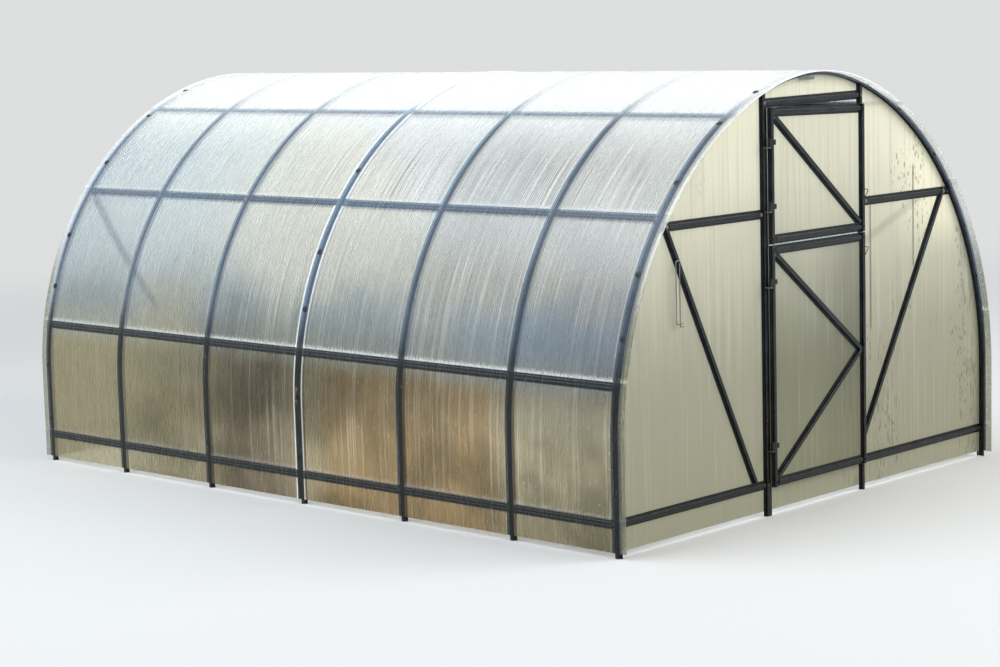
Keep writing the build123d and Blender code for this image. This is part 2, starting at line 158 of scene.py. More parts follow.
def hat_loop():
    """The closed outline of the folded hat strip, as (across, outward, fold) rows.
    The middle line of the strip has a quarter circle at each fold, and the two faces lie half a thickness to
    each side of it. fold is 1 on a fold and 0 on a flat."""
    half = STEEL / 2
    web = HAT_CROWN - half
    low = -HAT_DEPTH + half
    corners = [(-HAT, low), (-web, low), (-web, -half), (web, -half), (web, low), (HAT, low)]
    line = [(corners[0], (0.0, 1.0), 0.0)]
    for i in range(1, len(corners) - 1):
        before, at, after = (np.array(c) for c in corners[i - 1:i + 2])
        first = (at - before) / np.linalg.norm(at - before)
        second = (after - at) / np.linalg.norm(after - at)
        start = at - first * FOLD
        centre = start + second * FOLD
        for shift in (FLAT_FROM, 1.0):
            place = at - first * FOLD * shift
            line.append((tuple(place), (-first[1], first[0]), 0.0 if shift > 1 else 1.0))
        for turn in map(math.radians, FOLD_TURNS):
            c, s = math.cos(turn), math.sin(turn)
            place = centre - second * FOLD * c + first * FOLD * s
            direction = first * c + second * s
            line.append((tuple(place), (-direction[1], direction[0]), 1.0))
        for shift in (1.0, FLAT_FROM):
            place = at + second * FOLD * shift
            line.append((tuple(place), (-second[1], second[0]), 0.0 if shift > 1 else 1.0))
    line.append((corners[-1], (0.0, 1.0), 0.0))
    place, normal, fold = (np.array(column) for column in zip(*line))
    upper = np.column_stack([place + normal * half, fold])
    lower = np.column_stack([place - normal * half, fold])[::-1]
    return np.vstack([upper, lower])


HAT_LOOP = hat_loop()


def loop_skin(points, fold, along):
    """The quads of a closed loop carried through stations. points is (loop, station, 3), fold is by loop and
    along by station. Each end is closed by quads across the strip."""
    n, m = points.shape[:2]
    i = np.arange(n)[:, None]
    j = np.arange(m - 1)[None, :]
    nxt = (i + 1) % n
    side = np.stack([i * m + j, nxt * m + j, nxt * m + j + 1, i * m + j + 1], -1).reshape(-1, 4)
    k = np.arange(n // 2 - 1)
    ends = []
    for station, turned in ((0, False), (m - 1, True)):
        quad = np.stack([k, n - 1 - k, n - 2 - k, k + 1], -1) * m + station
        ends.append(quad[:, ::-1] if turned else quad)
    round_it = np.broadcast_to(np.arange(n)[:, None] * UV_STEP, (n, m))
    return {
        "points": points.reshape(-1, 3),
        "faces": np.vstack([side] + ends),
        "uv": np.stack([round_it, np.broadcast_to(along, (n, m))], -1).reshape(-1, 2),
        "fold": np.broadcast_to(fold[:, None], (n, m)).reshape(-1),
    }


def hoop_skin(y):
    """A hat loop carried round the hoop's line: point = line(girth) + outward v, y + u."""
    girth = np.unique(np.concatenate([
        [0, LEG, 2 * HALF_GIRTH - LEG, 2 * HALF_GIRTH],
        np.linspace(LEG, 2 * HALF_GIRTH - LEG, HOOP_STATIONS)]))
    across, out, fold = HAT_LOOP.T
    x, z = hoop_place(girth[None, :], out[:, None])[:2]
    points = np.stack([x, np.broadcast_to(y + across[:, None], x.shape), z], -1)
    return loop_skin(points[::-1], fold[::-1], girth)


def bar_skin(start, end, facing, start_cut, end_cut):
    """A hat loop carried straight: point = start + t d + u sideways + v facing, where each line of the loop
    runs between the t that the two cuts give for it."""
    start, end, facing = (np.array(v, float) for v in (start, end, facing))
    run = end - start
    length = np.linalg.norm(run)
    d = run / length
    facing = facing / np.linalg.norm(facing)
    sideways = np.cross(facing, d)
    u, v, fold = HAT_LOOP.T
    base = start + u[:, None] * sideways + v[:, None] * facing
    t = np.stack([start_cut(base, d, length), end_cut(base, d, length)], -1)
    points = base[:, None, :] + t[:, :, None] * d
    return loop_skin(points, fold, np.array([0, length]))


def square(at):
    """A cut square across the bar, a share of its length from the start."""
    return lambda base, d, length: np.full(len(base), at * length)


def plane_cut(point, normal):
    """A cut by a plane: t = (point - base) . normal / d . normal."""
    point, normal = np.array(point, float), np.array(normal, float)
    return lambda base, d, length: ((point - base) @ normal) / (d @ normal)


def upright_cut(x):
    """A cut by the upright plane that stands at x."""
    return plane_cut((x, 0, 0), (1, 0, 0))


def level_cut(z):
    """A cut by the level plane at z."""
    return plane_cut((0, 0, z), (0, 0, 1))


def hoop_cut(towards, depth=HAT_DEPTH + SEAT, halvings=40):
    """A cut by the hoop's inner line: halving finds the t where the depth inside the hoop is its flange's.
    towards is 1 where the bar's end lies there and -1 for its start."""
    def cut(base, d, length):
        """Halves the stretch between a t inside the hoop and one outside it."""
        inside = np.full(len(base), length / 2)
        outside = np.full(len(base), length / 2 + towards * length)
        for _ in range(halvings):
            middle = (inside + outside) / 2
            place = base + middle[:, None] * d
            good = hoop_depth(place[:, 0], place[:, 2]) > depth
            inside = np.where(good, middle, inside)
            outside = np.where(good, outside, middle)
        return inside
    return cut


def joined(*skins):
    """Several skins as one."""
    start, out = 0, {"points": [], "faces": [], "uv": [], "fold": []}
    for s in skins:
        out["points"].append(s["points"])
        out["faces"].append(s["faces"] + start)
        out["uv"].append(s["uv"])
        out["fold"].append(s["fold"])
        start += len(s["points"])
    return {k: np.concatenate(v) for k, v in out.items()}


def mirrored(skin, axis):
    """The skin on the other side of the middle plane, its faces turned round again."""
    points = skin["points"].copy()
    points[:, axis] *= -1
    return {**skin, "points": points, "faces": skin["faces"][:, ::-1]}


def outward(skin):
    """The skin with its faces turned outwards, told by the sign of the volume that they close."""
    p = skin["points"][skin["faces"]]
    volume = np.einsum("ij,ij->i", p[:, 0], np.cross(p[:, 1], p[:, 2]) + np.cross(p[:, 2], p[:, 3])).sum()
    return skin if volume > 0 else {**skin, "faces": skin["faces"][:, ::-1]}


def piece(name, skin, body, slot, material, *nodes, sharp=35):
    """Puts a skin into a mesh object at the origin that stands for CAD nodes. Its edges are sharp past an
    angle in degrees."""
    mesh = bpy.data.meshes.new(name)
    mesh.from_pydata(skin["points"], [], skin["faces"].tolist())
    corner = np.empty(len(mesh.loops), np.int32)
    mesh.loops.foreach_get("vertex_index", corner)
    mesh.uv_layers.new(name="run").data.foreach_set("uv", skin["uv"][corner].astype(np.float32).ravel())
    mesh.attributes.new("fold", "FLOAT", "POINT").data.foreach_set("value", skin["fold"].astype(np.float32))
    mesh.polygons.foreach_set("use_smooth", np.ones(len(mesh.polygons), bool))
    mesh.set_sharp_from_angle(angle=math.radians(sharp))
    mesh.update()
    obj = bpy.data.objects.new(name, mesh)
    bpy.context.scene.collection.objects.link(obj)
    obj.data.materials.append(material)
    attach(obj, body)
    if nodes:
        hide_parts(*nodes)
    return obj


# Shader helpers: each places one node or a few in a tree and gives the socket that the value leaves by


def linked(tree, socket, value):
    """Puts a number, a colour or a link into a socket."""
    if isinstance(value, bpy.types.NodeSocket):
        tree.links.new(value, socket)
    elif isinstance(value, (tuple, list)) and socket.type == "RGBA":
        socket.default_value = (*value, 1) if len(value) == 3 else value
    else:
        socket.default_value = value


def sum_of(tree, operation, a, b=None, clamp=False):
    """One sum on numbers or links."""
    n = tree.nodes.new("ShaderNodeMath")
    n.operation = operation
    n.use_clamp = clamp
    linked(tree, n.inputs[0], a)
    if b is not None:
        linked(tree, n.inputs[1], b)
    return n.outputs[0]


def plus(tree, *values):
    """The sum of numbers or links."""
    return reduce(lambda a, b: sum_of(tree, "ADD", a, b), values)


def minus(tree, a, b):
    """a less b."""
    return sum_of(tree, "SUBTRACT", a, b)


def times(tree, *values):
    """The product of numbers or links."""
    return reduce(lambda a, b: sum_of(tree, "MULTIPLY", a, b), values)


def most(tree, *values):
    """The largest of numbers or links."""
    return reduce(lambda a, b: sum_of(tree, "MAXIMUM", a, b), values)


def size_of(tree, value):
    """A number without its sign."""
    return sum_of(tree, "ABSOLUTE", value)


def outside(tree, mask):
    """1 where a mask is 0, and 0 where it is 1."""
    return minus(tree, 1.0, mask)


def length_of(tree, a, b):
    """The distance sqrt(a^2 + b^2)."""
    return sum_of(tree, "SQRT", plus(tree, times(tree, a, a), times(tree, b, b)))


def ramp(tree, value, low, high, to_low=0.0, to_high=1.0, smooth=True):
    """A number carried from one range into another."""
    n = tree.nodes.new("ShaderNodeMapRange")
    n.interpolation_type = "SMOOTHSTEP" if smooth else "LINEAR"
    for name, number in zip(("Value", "From Min", "From Max", "To Min", "To Max"),
                            (value, low, high, to_low, to_high)):
        linked(tree, n.inputs[name], number)
    return n.outputs[0]


def band(tree, value, low, high, soft):
    """1 between two places, with a soft step at each."""
    up = ramp(tree, value, low - soft, low + soft)
    down = ramp(tree, value, high - soft, high + soft, 1, 0)
    return times(tree, up, down)


def mixed(tree, share, a, b, blend="MIX"):
    """A colour between a and b."""
    n = tree.nodes.new("ShaderNodeMix")
    n.data_type = "RGBA"
    n.blend_type = blend
    for i, value in ((0, share), (6, a), (7, b)):
        linked(tree, n.inputs[i], value)
    return n.outputs[2]


def tinted(tree, share, colour, by):
    """A colour multiplied by another, by a share."""
    return mixed(tree, share, colour, by, "MULTIPLY")


def packed(tree, x, y, z=0.0):
    """Three numbers as one vector."""
    n = tree.nodes.new("ShaderNodeCombineXYZ")
    for i, value in enumerate((x, y, z)):
        linked(tree, n.inputs[i], value)
    return n.outputs[0]


def noise(tree, vector, scale, detail=3.0, roughness=0.5, stretch=None):
    """A noise over a vector that may be stretched first."""
    if stretch is not None:
        m = tree.nodes.new("ShaderNodeVectorMath")
        m.operation = "MULTIPLY"
        linked(tree, m.inputs[0], vector)
        linked(tree, m.inputs[1], stretch)
        vector = m.outputs[0]
    n = tree.nodes.new("ShaderNodeTexNoise")
    n.inputs["Scale"].default_value = scale
    n.inputs["Detail"].default_value = detail
    n.inputs["Roughness"].default_value = roughness
    linked(tree, n.inputs["Vector"], vector)
    return n.outputs[0]


# Effects that several materials share


def new_group(name, inputs, outputs):
    """A node group with named sockets: the group, the values that go in and the sockets they leave by."""
    group = bpy.data.node_groups.new(name, "ShaderNodeTree")
    for socket, kind, value in inputs:
        s = group.interface.new_socket(socket, in_out="INPUT", socket_type="NodeSocket" + kind)
        if value is not None:
            s.default_value = value
    for socket in outputs:
        group.interface.new_socket(socket, in_out="OUTPUT", socket_type="NodeSocketFloat")
    return group, group.nodes.new("NodeGroupInput").outputs, group.nodes.new("NodeGroupOutput").inputs


def placed(tree, group, **values):
    """Places a group in a material with its own values and gives its outputs."""
    n = tree.nodes.new("ShaderNodeGroup")
    n.node_tree = group
    for name, value in values.items():
        linked(tree, n.inputs[name.replace("_", " ")], value)
    return n.outputs


def build_flute_streaks():
    """Light and dark lines along the flutes of a sheet: noises over (across, along) that are stretched along.
    Bright is where drips have run, Dark where dirt lies, Lines the mix of the coarse and the fine noise."""
    g, given, out = new_group("flute_streaks", [
        ("Across", "Float", None), ("Along", "Float", None), ("Coarse", "Float", 70.0),
        ("Fine", "Float", 190.0), ("Bright From", "Float", 0.51), ("Dark From", "Float", 0.50)],
        ["Bright", "Dark", "Lines"])
    coarse_along, fine_along, coarse_share, step = 0.7, 1.6, 0.55, 0.14
    place = packed(g, given["Across"], given["Along"])
    coarse = noise(g, place, 1.0, 1, 0.6, packed(g, given["Coarse"], coarse_along))
    fine = noise(g, place, 1.0, 0, 0.6, packed(g, given["Fine"], fine_along))
    lines = plus(g, times(g, coarse, coarse_share), times(g, fine, 1 - coarse_share))
    bright, dark = given["Bright From"], given["Dark From"]
    g.links.new(ramp(g, lines, bright, plus(g, bright, step)), out["Bright"])
    g.links.new(ramp(g, lines, minus(g, dark, step), dark, 1, 0), out["Dark"])
    g.links.new(lines, out["Lines"])
    return g


def build_specks():
    """Small spots scattered by a cell pattern, kept in patches by a wide noise: 1 inside a spot.
    Size is the usual radius of a spot as a share of a cell, from a third of it to a little more, and Share
    how much of the surface the patches take."""
    g, given, out = new_group("scattered_specks", [
        ("Place", "Vector", None), ("Scale", "Float", 90.0), ("Size", "Float", 0.25),
        ("Share", "Float", 0.4)], ["Specks"])
    smallest, largest, core = 0.35, 1.2, 0.6
    bare_level, level_range, step = 0.68, 0.36, 0.05
    cells = g.nodes.new("ShaderNodeTexVoronoi")
    g.links.new(given["Place"], cells.inputs["Vector"])
    g.links.new(given["Scale"], cells.inputs["Scale"])
    own = g.nodes.new("ShaderNodeSeparateColor")
    g.links.new(cells.outputs["Color"], own.inputs[0])
    size = times(g, given["Size"], ramp(g, own.outputs[0], 0, 1, smallest, largest, smooth=False))
    spot = ramp(g, cells.outputs["Distance"], times(g, size, core), size, 1, 0)
    patch = noise(g, given["Place"], 2.6, 2, 0.65)
    level = minus(g, bare_level, times(g, given["Share"], level_range))
    g.links.new(times(g, spot, ramp(g, patch, level, plus(g, level, step))), out["Specks"])
    return g


def build_ground_dirt():
    """Dirt that climbs from the ground: 1 below a height and 0 above it, the edge waved by noise."""
    g, given, out = new_group("dirt_from_ground", [
        ("Place", "Vector", None), ("Height", "Float", 0.7), ("Blend", "Float", 0.1), ("Wave", "Float", 0.1)],
        ["Dirt"])
    split = g.nodes.new("ShaderNodeSeparateXYZ")
    g.links.new(given["Place"], split.inputs[0])
    wave = times(g, minus(g, noise(g, given["Place"], 2.1, 4, 0.6), 0.5), given["Wave"])
    z = plus(g, split.outputs["Z"], wave)
    top = plus(g, given["Height"], given["Blend"])
    g.links.new(ramp(g, z, given["Height"], top, 1, 0), out["Dirt"])
    return g


def build_fold_wear_and_glint():
    """Bare bright metal along the folds of a strip, broken up by fine noise; it also stands for painted
    highlights along the folds.
    """
    g, given, out = new_group("worn_folds", [
        ("Fold", "Float", None), ("Place", "Vector", None), ("Amount", "Float", 0.5)], ["Wear"])
    worn_or_glinting = ramp(g, noise(g, given["Place"], 26, 5, 0.7), 0.42, 0.62)
    g.links.new(times(g, given["Fold"], worn_or_glinting, given["Amount"]), out["Wear"])
    return g


def build_nearest_line():
    """How far a place lies from the nearest of five parallel lines, with its sign."""
    g, given, out = new_group("nearest_of_lines", [("Place", "Float", None)] + [
        (f"Line {i}", "Float", 99.0) for i in range(1, 6)], ["Off"])
    best = minus(g, given["Place"], given["Line 1"])
    for i in range(2, 6):
        off = minus(g, given["Place"], given[f"Line {i}"])
        closer = sum_of(g, "LESS_THAN", size_of(g, off), size_of(g, best))
        best = plus(g, best, times(g, closer, minus(g, off, best)))
    g.links.new(best, out["Off"])
    return g


STREAKS = build_flute_streaks()
SPECKS = build_specks()
GROUND_DIRT = build_ground_dirt()
FOLD_WEAR_AND_GLINT = build_fold_wear_and_glint()
NEAREST_LINE = build_nearest_line()


def nearest(tree, place, levels):
    """The distance to the nearest of up to five levels, with its sign."""
    levels = {f"Line_{i}": level for i, level in enumerate(levels, 1)}
    return placed(tree, NEAREST_LINE, Place=place, **levels)["Off"]


# What every finish starts and ends with


def finish(name):
    """A new material with its tree, its main shader and Object coordinates."""
    m = bpy.data.materials.new(name)
    m.use_nodes = True
    t = m.node_tree
    shader = t.nodes["Principled BSDF"]
    where = t.nodes.new("ShaderNodeTexCoord").outputs["Object"]
    split = t.nodes.new("ShaderNodeSeparateXYZ")
    t.links.new(where, split.inputs[0])
    return m, t, shader, where, split.outputs


def bump(tree, height, shader, strength, distance):
    """A shallow relief on the shader from a height."""
    n = tree.nodes.new("ShaderNodeBump")
    n.inputs["Strength"].default_value = strength
    n.inputs["Distance"].default_value = distance
    tree.links.new(height, n.inputs["Height"])
    tree.links.new(n.outputs[0], shader.inputs["Normal"])


def let_light_in(tree, shader, veil):
    """Lamp light passes the sheet, weakened by a veil; what the camera sees stays the sheet itself."""
    path = tree.nodes.new("ShaderNodeLightPath")
    clear = tree.nodes.new("ShaderNodeBsdfTransparent")
    clear.inputs["Color"].default_value = (1 - veil, 1 - veil, 1 - veil, 1)
    either = tree.nodes.new("ShaderNodeMixShader")
    tree.links.new(path.outputs["Is Shadow Ray"], either.inputs[0])
    tree.links.new(shader.outputs[0], either.inputs[1])
    tree.links.new(clear.outputs[0], either.inputs[2])
    tree.links.new(either.outputs[0], tree.nodes["Material Output"].inputs["Surface"])


# The roof sheet: heights and places along Y between which one tone gives way to the next
SOIL_TOP, SOIL_BLEND, SOIL_WAVE = 0.64, 0.14, 0.12
STRAW_HEIGHTS = (0.72, 0.98)
UNDER_PURLIN = (0.95, 1.12)
GLOW_HEIGHTS, GLOW_BAY = (1.02, 1.20), (-0.66, -0.10, 0.20)
GLARE_HEIGHTS = (0.98, 1.42)
RIDGE_HEIGHTS = (1.62, 1.98)
SHADED_BAY, STRAW_BAY = (0.30, 0.66, 0.12), (0.85, 1.25, 0.12)
DARK_SOIL_BAY, BROWN_SOIL_BAYS = (0.05, 0.62, 0.15), (-1.30, -0.15, 0.15)

# Where the sheet lies on steel: half the width of the mark, from its full tone to none
ON_HOOP = (0.0185, 0.0235)
ON_PURLIN = (0.0180, 0.0215)
FRINGE_FROM = 0.0185

# Its colours
MILK_GREY, MILK_BLUE, MILK_GLOW = (0.56, 0.62, 0.66), (0.42, 0.56, 0.74), (0.80, 0.84, 0.80)
WARM_GLARE, COOL_GLARE, DULL_GLARE = (0.97, 0.97, 0.95), (0.84, 0.92, 1.0), (0.78, 0.79, 0.77)
RIDGE_GLARE = (0.95, 0.98, 1.0)
STRAW_DULL, STRAW_PALE, STRAW_STAIN = (0.56, 0.51, 0.38), (0.88, 0.84, 0.72), (0.88, 0.80, 0.62)
BLUE_SHADE = (0.76, 0.80, 0.86)
SOIL_DARK, SOIL_LIGHT, SOIL_GREY, SOIL_PALE = (
    (0.32, 0.28, 0.18), (0.56, 0.48, 0.32), (0.44, 0.43, 0.36), (0.72, 0.66, 0.48))
SOIL_SHADE, SOIL_BROWN = (0.60, 0.56, 0.56), (0.90, 0.74, 0.58)
DIRT_LINE, DRIP_LINE, FRINGE = (0.50, 0.50, 0.47), (0.98, 0.97, 0.93), (0.94, 0.98, 1.0)
HOOP_BEHIND_SHADED, HOOP_BEHIND_LIT, PURLIN_BEHIND = (0.23, 0.32, 0.44), (0.46, 0.58, 0.70), (0.27, 0.37, 0.49)
STEEL_PALE, STEEL_SHADE, STEEL_IN_GLARE = (0.70, 0.80, 0.90), (0.66, 0.68, 0.70), (0.74, 0.86, 0.94)
STEEL_IN_GLOOM, STEEL_GLINT, BRACE_BEHIND = (0.055, 0.065, 0.065), (0.84, 0.92, 0.98), (0.34, 0.40, 0.46)
DROP, RUST, SCREW_HEAD = (0.98, 0.98, 0.95), (0.72, 0.44, 0.22), (0.03, 0.03, 0.035)
CUT_EDGE, ALGAE_DARK, ALGAE_PALE = (0.93, 0.95, 0.94), (0.34, 0.35, 0.25), (0.80, 0.82, 0.72)
SHINE = (0.98, 0.98, 0.98)


def roof_places(t, where, xyz):
    """What the roof's marks are made from. girth runs round the hoops from the far foot and rise from the
    nearer one. from_hoop and from_purlin are the distances to the nearest of each, with their sign."""
    uv = t.nodes.new("ShaderNodeUVMap")
    uv.uv_map = "run"
    split = t.nodes.new("ShaderNodeSeparateXYZ")
    t.links.new(uv.outputs[0], split.inputs[0])
    r = SimpleNamespace(where=where, y=xyz[1], z=xyz[2], girth=split.outputs[1])
    r.near_girth = minus(t, 2 * HALF_GIRTH, r.girth)
    r.rise = sum_of(t, "MINIMUM", r.girth, r.near_girth)
    r.along = size_of(t, r.y)
    r.flat = packed(t, r.y, r.girth)
    r.cloud = noise(t, r.flat, 1.7, 3, 0.6)
    r.streaks = placed(t, STREAKS, Across=r.y, Along=r.girth, Coarse=85.0, Fine=180.0,
                       Bright_From=0.54, Dark_From=0.46)
    hoop = nearest(t, r.along, [y for y in HOOPS if y >= 0])
    r.from_hoop = times(t, hoop, sum_of(t, "SIGN", r.y))
    r.from_purlin = nearest(t, r.rise, (*PURLINS.values(), HALF_GIRTH))
    r.on_hoop = ramp(t, size_of(t, hoop), *ON_HOOP, 1, 0)
    r.on_purlin = ramp(t, size_of(t, r.from_purlin), *ON_PURLIN, 1, 0)
    r.on_steel = most(t, r.on_hoop, r.on_purlin)
    r.high = ramp(t, r.z, *RIDGE_HEIGHTS)
    return r


def clean_sheet(t, r):
    """The sheet before its marks: blue grey at half height with a painted glow in one bay, white above where
    sky glare is painted, straw coloured low down, and painted shade low in one other bay.
    """
    cool = ramp(t, plus(t, r.y, times(t, r.cloud, 0.9)), -1.3, 0.9, 1, 0)
    colour = mixed(t, cool, MILK_GREY, MILK_BLUE)
    # Painted glow: a lighter patch at half height in one bay.
    glow = times(t, band(t, r.y, *GLOW_BAY), ramp(t, r.z, *GLOW_HEIGHTS))
    colour = mixed(t, glow, colour, MILK_GLOW)
    # Painted sky glare: white above, cooler towards the back, duller towards the front and whiter over the
    # ridge.
    white = mixed(t, ramp(t, r.y, 0.1, 1.3), WARM_GLARE, COOL_GLARE)
    white = mixed(t, ramp(t, r.y, -0.45, -0.95), white, DULL_GLARE)
    waved_z = plus(t, r.z, times(t, r.cloud, 0.4))
    colour = mixed(t, ramp(t, waved_z, *GLARE_HEIGHTS), colour, white)
    colour = mixed(t, r.high, colour, RIDGE_GLARE)
    straw = mixed(t, ramp(t, r.y, 0.6, 1.5), STRAW_DULL, STRAW_PALE)
    colour = mixed(t, ramp(t, r.z, *STRAW_HEIGHTS, 0.5, 0), colour, straw)
    under = ramp(t, r.z, *UNDER_PURLIN, 1, 0)
    # Painted shade low down in one bay.
    colour = tinted(t, times(t, under, band(t, r.y, *SHADED_BAY)), colour, BLUE_SHADE)
    return mixed(t, times(t, under, band(t, r.y, *STRAW_BAY), 0.35), colour, STRAW_STAIN)


def soiled(t, r, colour):
    """Soil splashed up from the ground, its tone different from bay to bay."""
    soil = mixed(t, ramp(t, r.cloud, 0.38, 0.62), SOIL_DARK, SOIL_LIGHT)
    soil = mixed(t, ramp(t, r.z, 0.40, 0.62, 0, 0.5), soil, SOIL_GREY)
    soil = tinted(t, band(t, r.y, *DARK_SOIL_BAY), soil, SOIL_SHADE)
    soil = tinted(t, band(t, r.y, *BROWN_SOIL_BAYS), soil, SOIL_BROWN)
    soil = mixed(t, ramp(t, r.y, 0.9, 1.6, 0, 0.9), soil, SOIL_PALE)
    low = placed(t, GROUND_DIRT, Place=r.where, Height=SOIL_TOP, Blend=SOIL_BLEND, Wave=SOIL_WAVE)["Dirt"]
    return mixed(t, low, colour, soil)


def streaked(t, r, colour):
    """Lines of drips and dirt along the flutes, weaker at the ridge, by the ground and towards the back."""
    strength = times(
        t, ramp(t, r.cloud, 0.36, 0.60, 0.45, 1.0), ramp(t, r.z, 1.60, 1.92, 1, 0),
        ramp(t, r.z, 0.80, 1.30, 0.36, 1), ramp(t, r.y, -0.2, 1.2, 1, 0.4))
    r.bright = times(t, r.streaks["Bright"], strength, 0.80)
    colour = tinted(t, times(t, r.streaks["Dark"], strength, 0.60), colour, DIRT_LINE)
    return mixed(t, r.bright, colour, DRIP_LINE)


def fringed(t, r, colour):
    """Pale drips caught above each purlin, a pale strip on each side of the middle hoop and a faint pale line
    at the back edge of each hoop."""
    drip = noise(t, packed(t, r.y, 0.0), 1.0, 1, 0.7, (230, 1, 1))
    drip_length = ramp(t, drip, 0.36, 0.66, 0.003, 0.026)
    over = minus(t, r.from_purlin, FRINGE_FROM)
    fringe = times(
        t, sum_of(t, "GREATER_THAN", over, 0.0), sum_of(t, "LESS_THAN", over, drip_length),
        ramp(t, r.z, 0.3, 0.6, 0.25, 0.95), ramp(t, r.z, 0.9, 1.4, 1, 0.5), ramp(t, r.y, 0.3, 1.2, 1, 0.8))
    lap_strip = times(t, band(t, r.along, ON_HOOP[1], LAP, 0.0015), 0.95)
    halo = times(t, band(t, r.from_hoop, 0.0225, 0.029, 0.003), ramp(t, r.z, 0.75, 0.90, 0.08, 0.40))
    r.pale = most(t, fringe, lap_strip, halo)
    return mixed(t, r.pale, colour, FRINGE)


def steel_behind(t, r, colour):
    """The hoops and purlins as they show where they touch the sheet: blue grey, each hoop with a painted lit
    and a painted shaded side, with a painted glint along each edge of a purlin's crown, nearly black below
    the low purlin and washed out towards the ridge by painted glare."""
    # Painted light and shade: one side of each hoop lit and the other shaded.
    steel = mixed(t, ramp(t, r.from_hoop, -0.020, 0.020), HOOP_BEHIND_SHADED, HOOP_BEHIND_LIT)
    steel = mixed(t, outside(t, r.on_hoop), steel, PURLIN_BEHIND)
    steel = mixed(t, ramp(t, r.y, 0.2, 1.9, 0, 0.35), steel, STEEL_PALE)
    steel = tinted(t, ramp(t, r.y, -1.3, -0.2, 0.9, 0), steel, STEEL_SHADE)
    # Painted glare washes the steel out towards the ridge.
    steel = mixed(t, ramp(t, r.z, 1.78, 1.95), steel, STEEL_IN_GLARE)
    steel = mixed(t, ramp(t, r.z, 0.70, 0.96, 0.95, 0), steel, STEEL_IN_GLOOM)
    # Painted glint along each edge of a purlin's crown.
    from_crown = size_of(t, minus(t, r.from_purlin, 0.003))
    glint = times(
        t, band(t, from_crown, 0.0065, 0.0085, 0.0010), outside(t, r.on_hoop),
        ramp(t, r.z, 1.60, 1.80, 1, 0.1), ramp(t, r.streaks["Lines"], 0.35, 0.6, 0.7, 1.0), 0.9)
    r.touching = times(t, r.on_steel, ramp(t, r.z, 1.84, 1.95, 0.94, 0.10))
    return mixed(t, r.touching, colour, mixed(t, glint, steel, STEEL_GLINT))


def back_brace_behind(t, r, colour):
    """The soft shade of the back gable's brace: a slanting band towards the back of the near side."""
    foot, slope, half_width = 0.082, 0.727, 0.024
    slant = minus(t, r.near_girth, plus(t, foot, times(t, r.y, slope)))
    shade = times(t, band(t, slant, -half_width, half_width, 0.018), band(t, r.y, 1.12, 1.97, 0.06),
                  outside(t, r.on_steel), 0.45)
    return mixed(t, shade, colour, BRACE_BEHIND)


def spotted(t, r, colour):
    """Drops on the lower half, the rust patch at the middle hoop, and the heads of its two lowest screws."""
    drops = placed(t, SPECKS, Place=r.flat, Scale=34.0, Size=0.13, Share=0.75)["Specks"]
    colour = mixed(t, times(t, drops, ramp(t, r.z, 0.95, 1.35, 1, 0), 0.8), colour, DROP)
    rust = times(t, band(t, r.y, 0.000, 0.017, 0.004), band(t, r.near_girth, 0.500, 0.575, 0.008),
                 ramp(t, noise(t, r.where, 70.0, 1, 0.6), 0.40, 0.52))
    colour = mixed(t, rust, colour, RUST)
    for place in DRAWN_SCREWS:
        from_head = length_of(t, r.y, minus(t, r.rise, place))
        colour = mixed(t, ramp(t, from_head, 0.0125, 0.0145, 0.95, 0), colour, SCREW_HEAD)
    return colour


def edged(t, r, colour):
    """The pale cut edges at the two ends of the roof, with algae on them low down."""
    edge = ramp(t, r.along, 2.022, 2.026)
    colour = mixed(t, times(t, edge, 0.9), colour, CUT_EDGE)
    algae = placed(t, SPECKS, Place=r.where, Scale=75.0, Size=0.40, Share=1.0)["Specks"]
    grown = times(t, edge, ramp(t, r.z, 0.9, 1.3, 1, 0), 0.8)
    return mixed(t, grown, colour, mixed(t, algae, ALGAE_DARK, ALGAE_PALE))


def roof_sheet_finish():
    """Milky sheet, olive brown by the ground and nearly white over the ridge, where the white is painted sky
    glare. It is darker where it lies on the steel, and a faint glow of its own stands for the light that its
    bright lines and ridge pass on."""
    m, t, s, where, xyz = finish("milky_twin_wall_roof")
    m.cycles.emission_sampling = "NONE"
    r = roof_places(t, where, xyz)
    colour = clean_sheet(t, r)
    for mark in (soiled, streaked, fringed, steel_behind, back_brace_behind, spotted, edged):
        colour = mark(t, r, colour)
    t.links.new(colour, s.inputs["Base Color"])

    lines = most(t, times(t, r.bright, 0.45), times(t, r.pale, 0.5))
    lines = times(t, lines, outside(t, times(t, r.on_steel, 0.85)))
    ridge = times(t, r.high, minus(t, 0.42, times(t, r.touching, 0.34)))
    t.links.new(mixed(t, most(t, lines, ridge), (0, 0, 0), SHINE), s.inputs["Emission Color"])
    s.inputs["Emission Strength"].default_value = 0.30
    s.inputs["Transmission Weight"].default_value = 0.82
    s.inputs["IOR"].default_value = 1.25
    let_light_in(t, s, 0.25)
    t.links.new(ramp(t, r.streaks["Lines"], 0.2, 0.8, 0.20, 0.32), s.inputs["Roughness"])
    bump(t, noise(t, r.flat, 1.0, 0, 0.5, (120, 1.5, 1)), s, 0.06, 0.002)
    return m


# The gable sheets' colours
DAMP, DIRT_STREAK, CLEAN_STREAK = (0.34, 0.33, 0.20), (0.36, 0.35, 0.28), (0.98, 0.97, 0.90)
BACKLIGHT_CREAM, HALF_TONE, BACK_SHADE, MILDEW = (
    (0.98, 0.96, 0.78), (0.5, 0.5, 0.5), (0.42, 0.42, 0.38), (0.16, 0.15, 0.10))

# Fine dark upright lines on the right side's sheet, and half their width
UPRIGHT_LINES = [(0.475, 0.775, 1.38), (0.847, 1.05, 1.55)]
UPRIGHT_LINE = 0.006


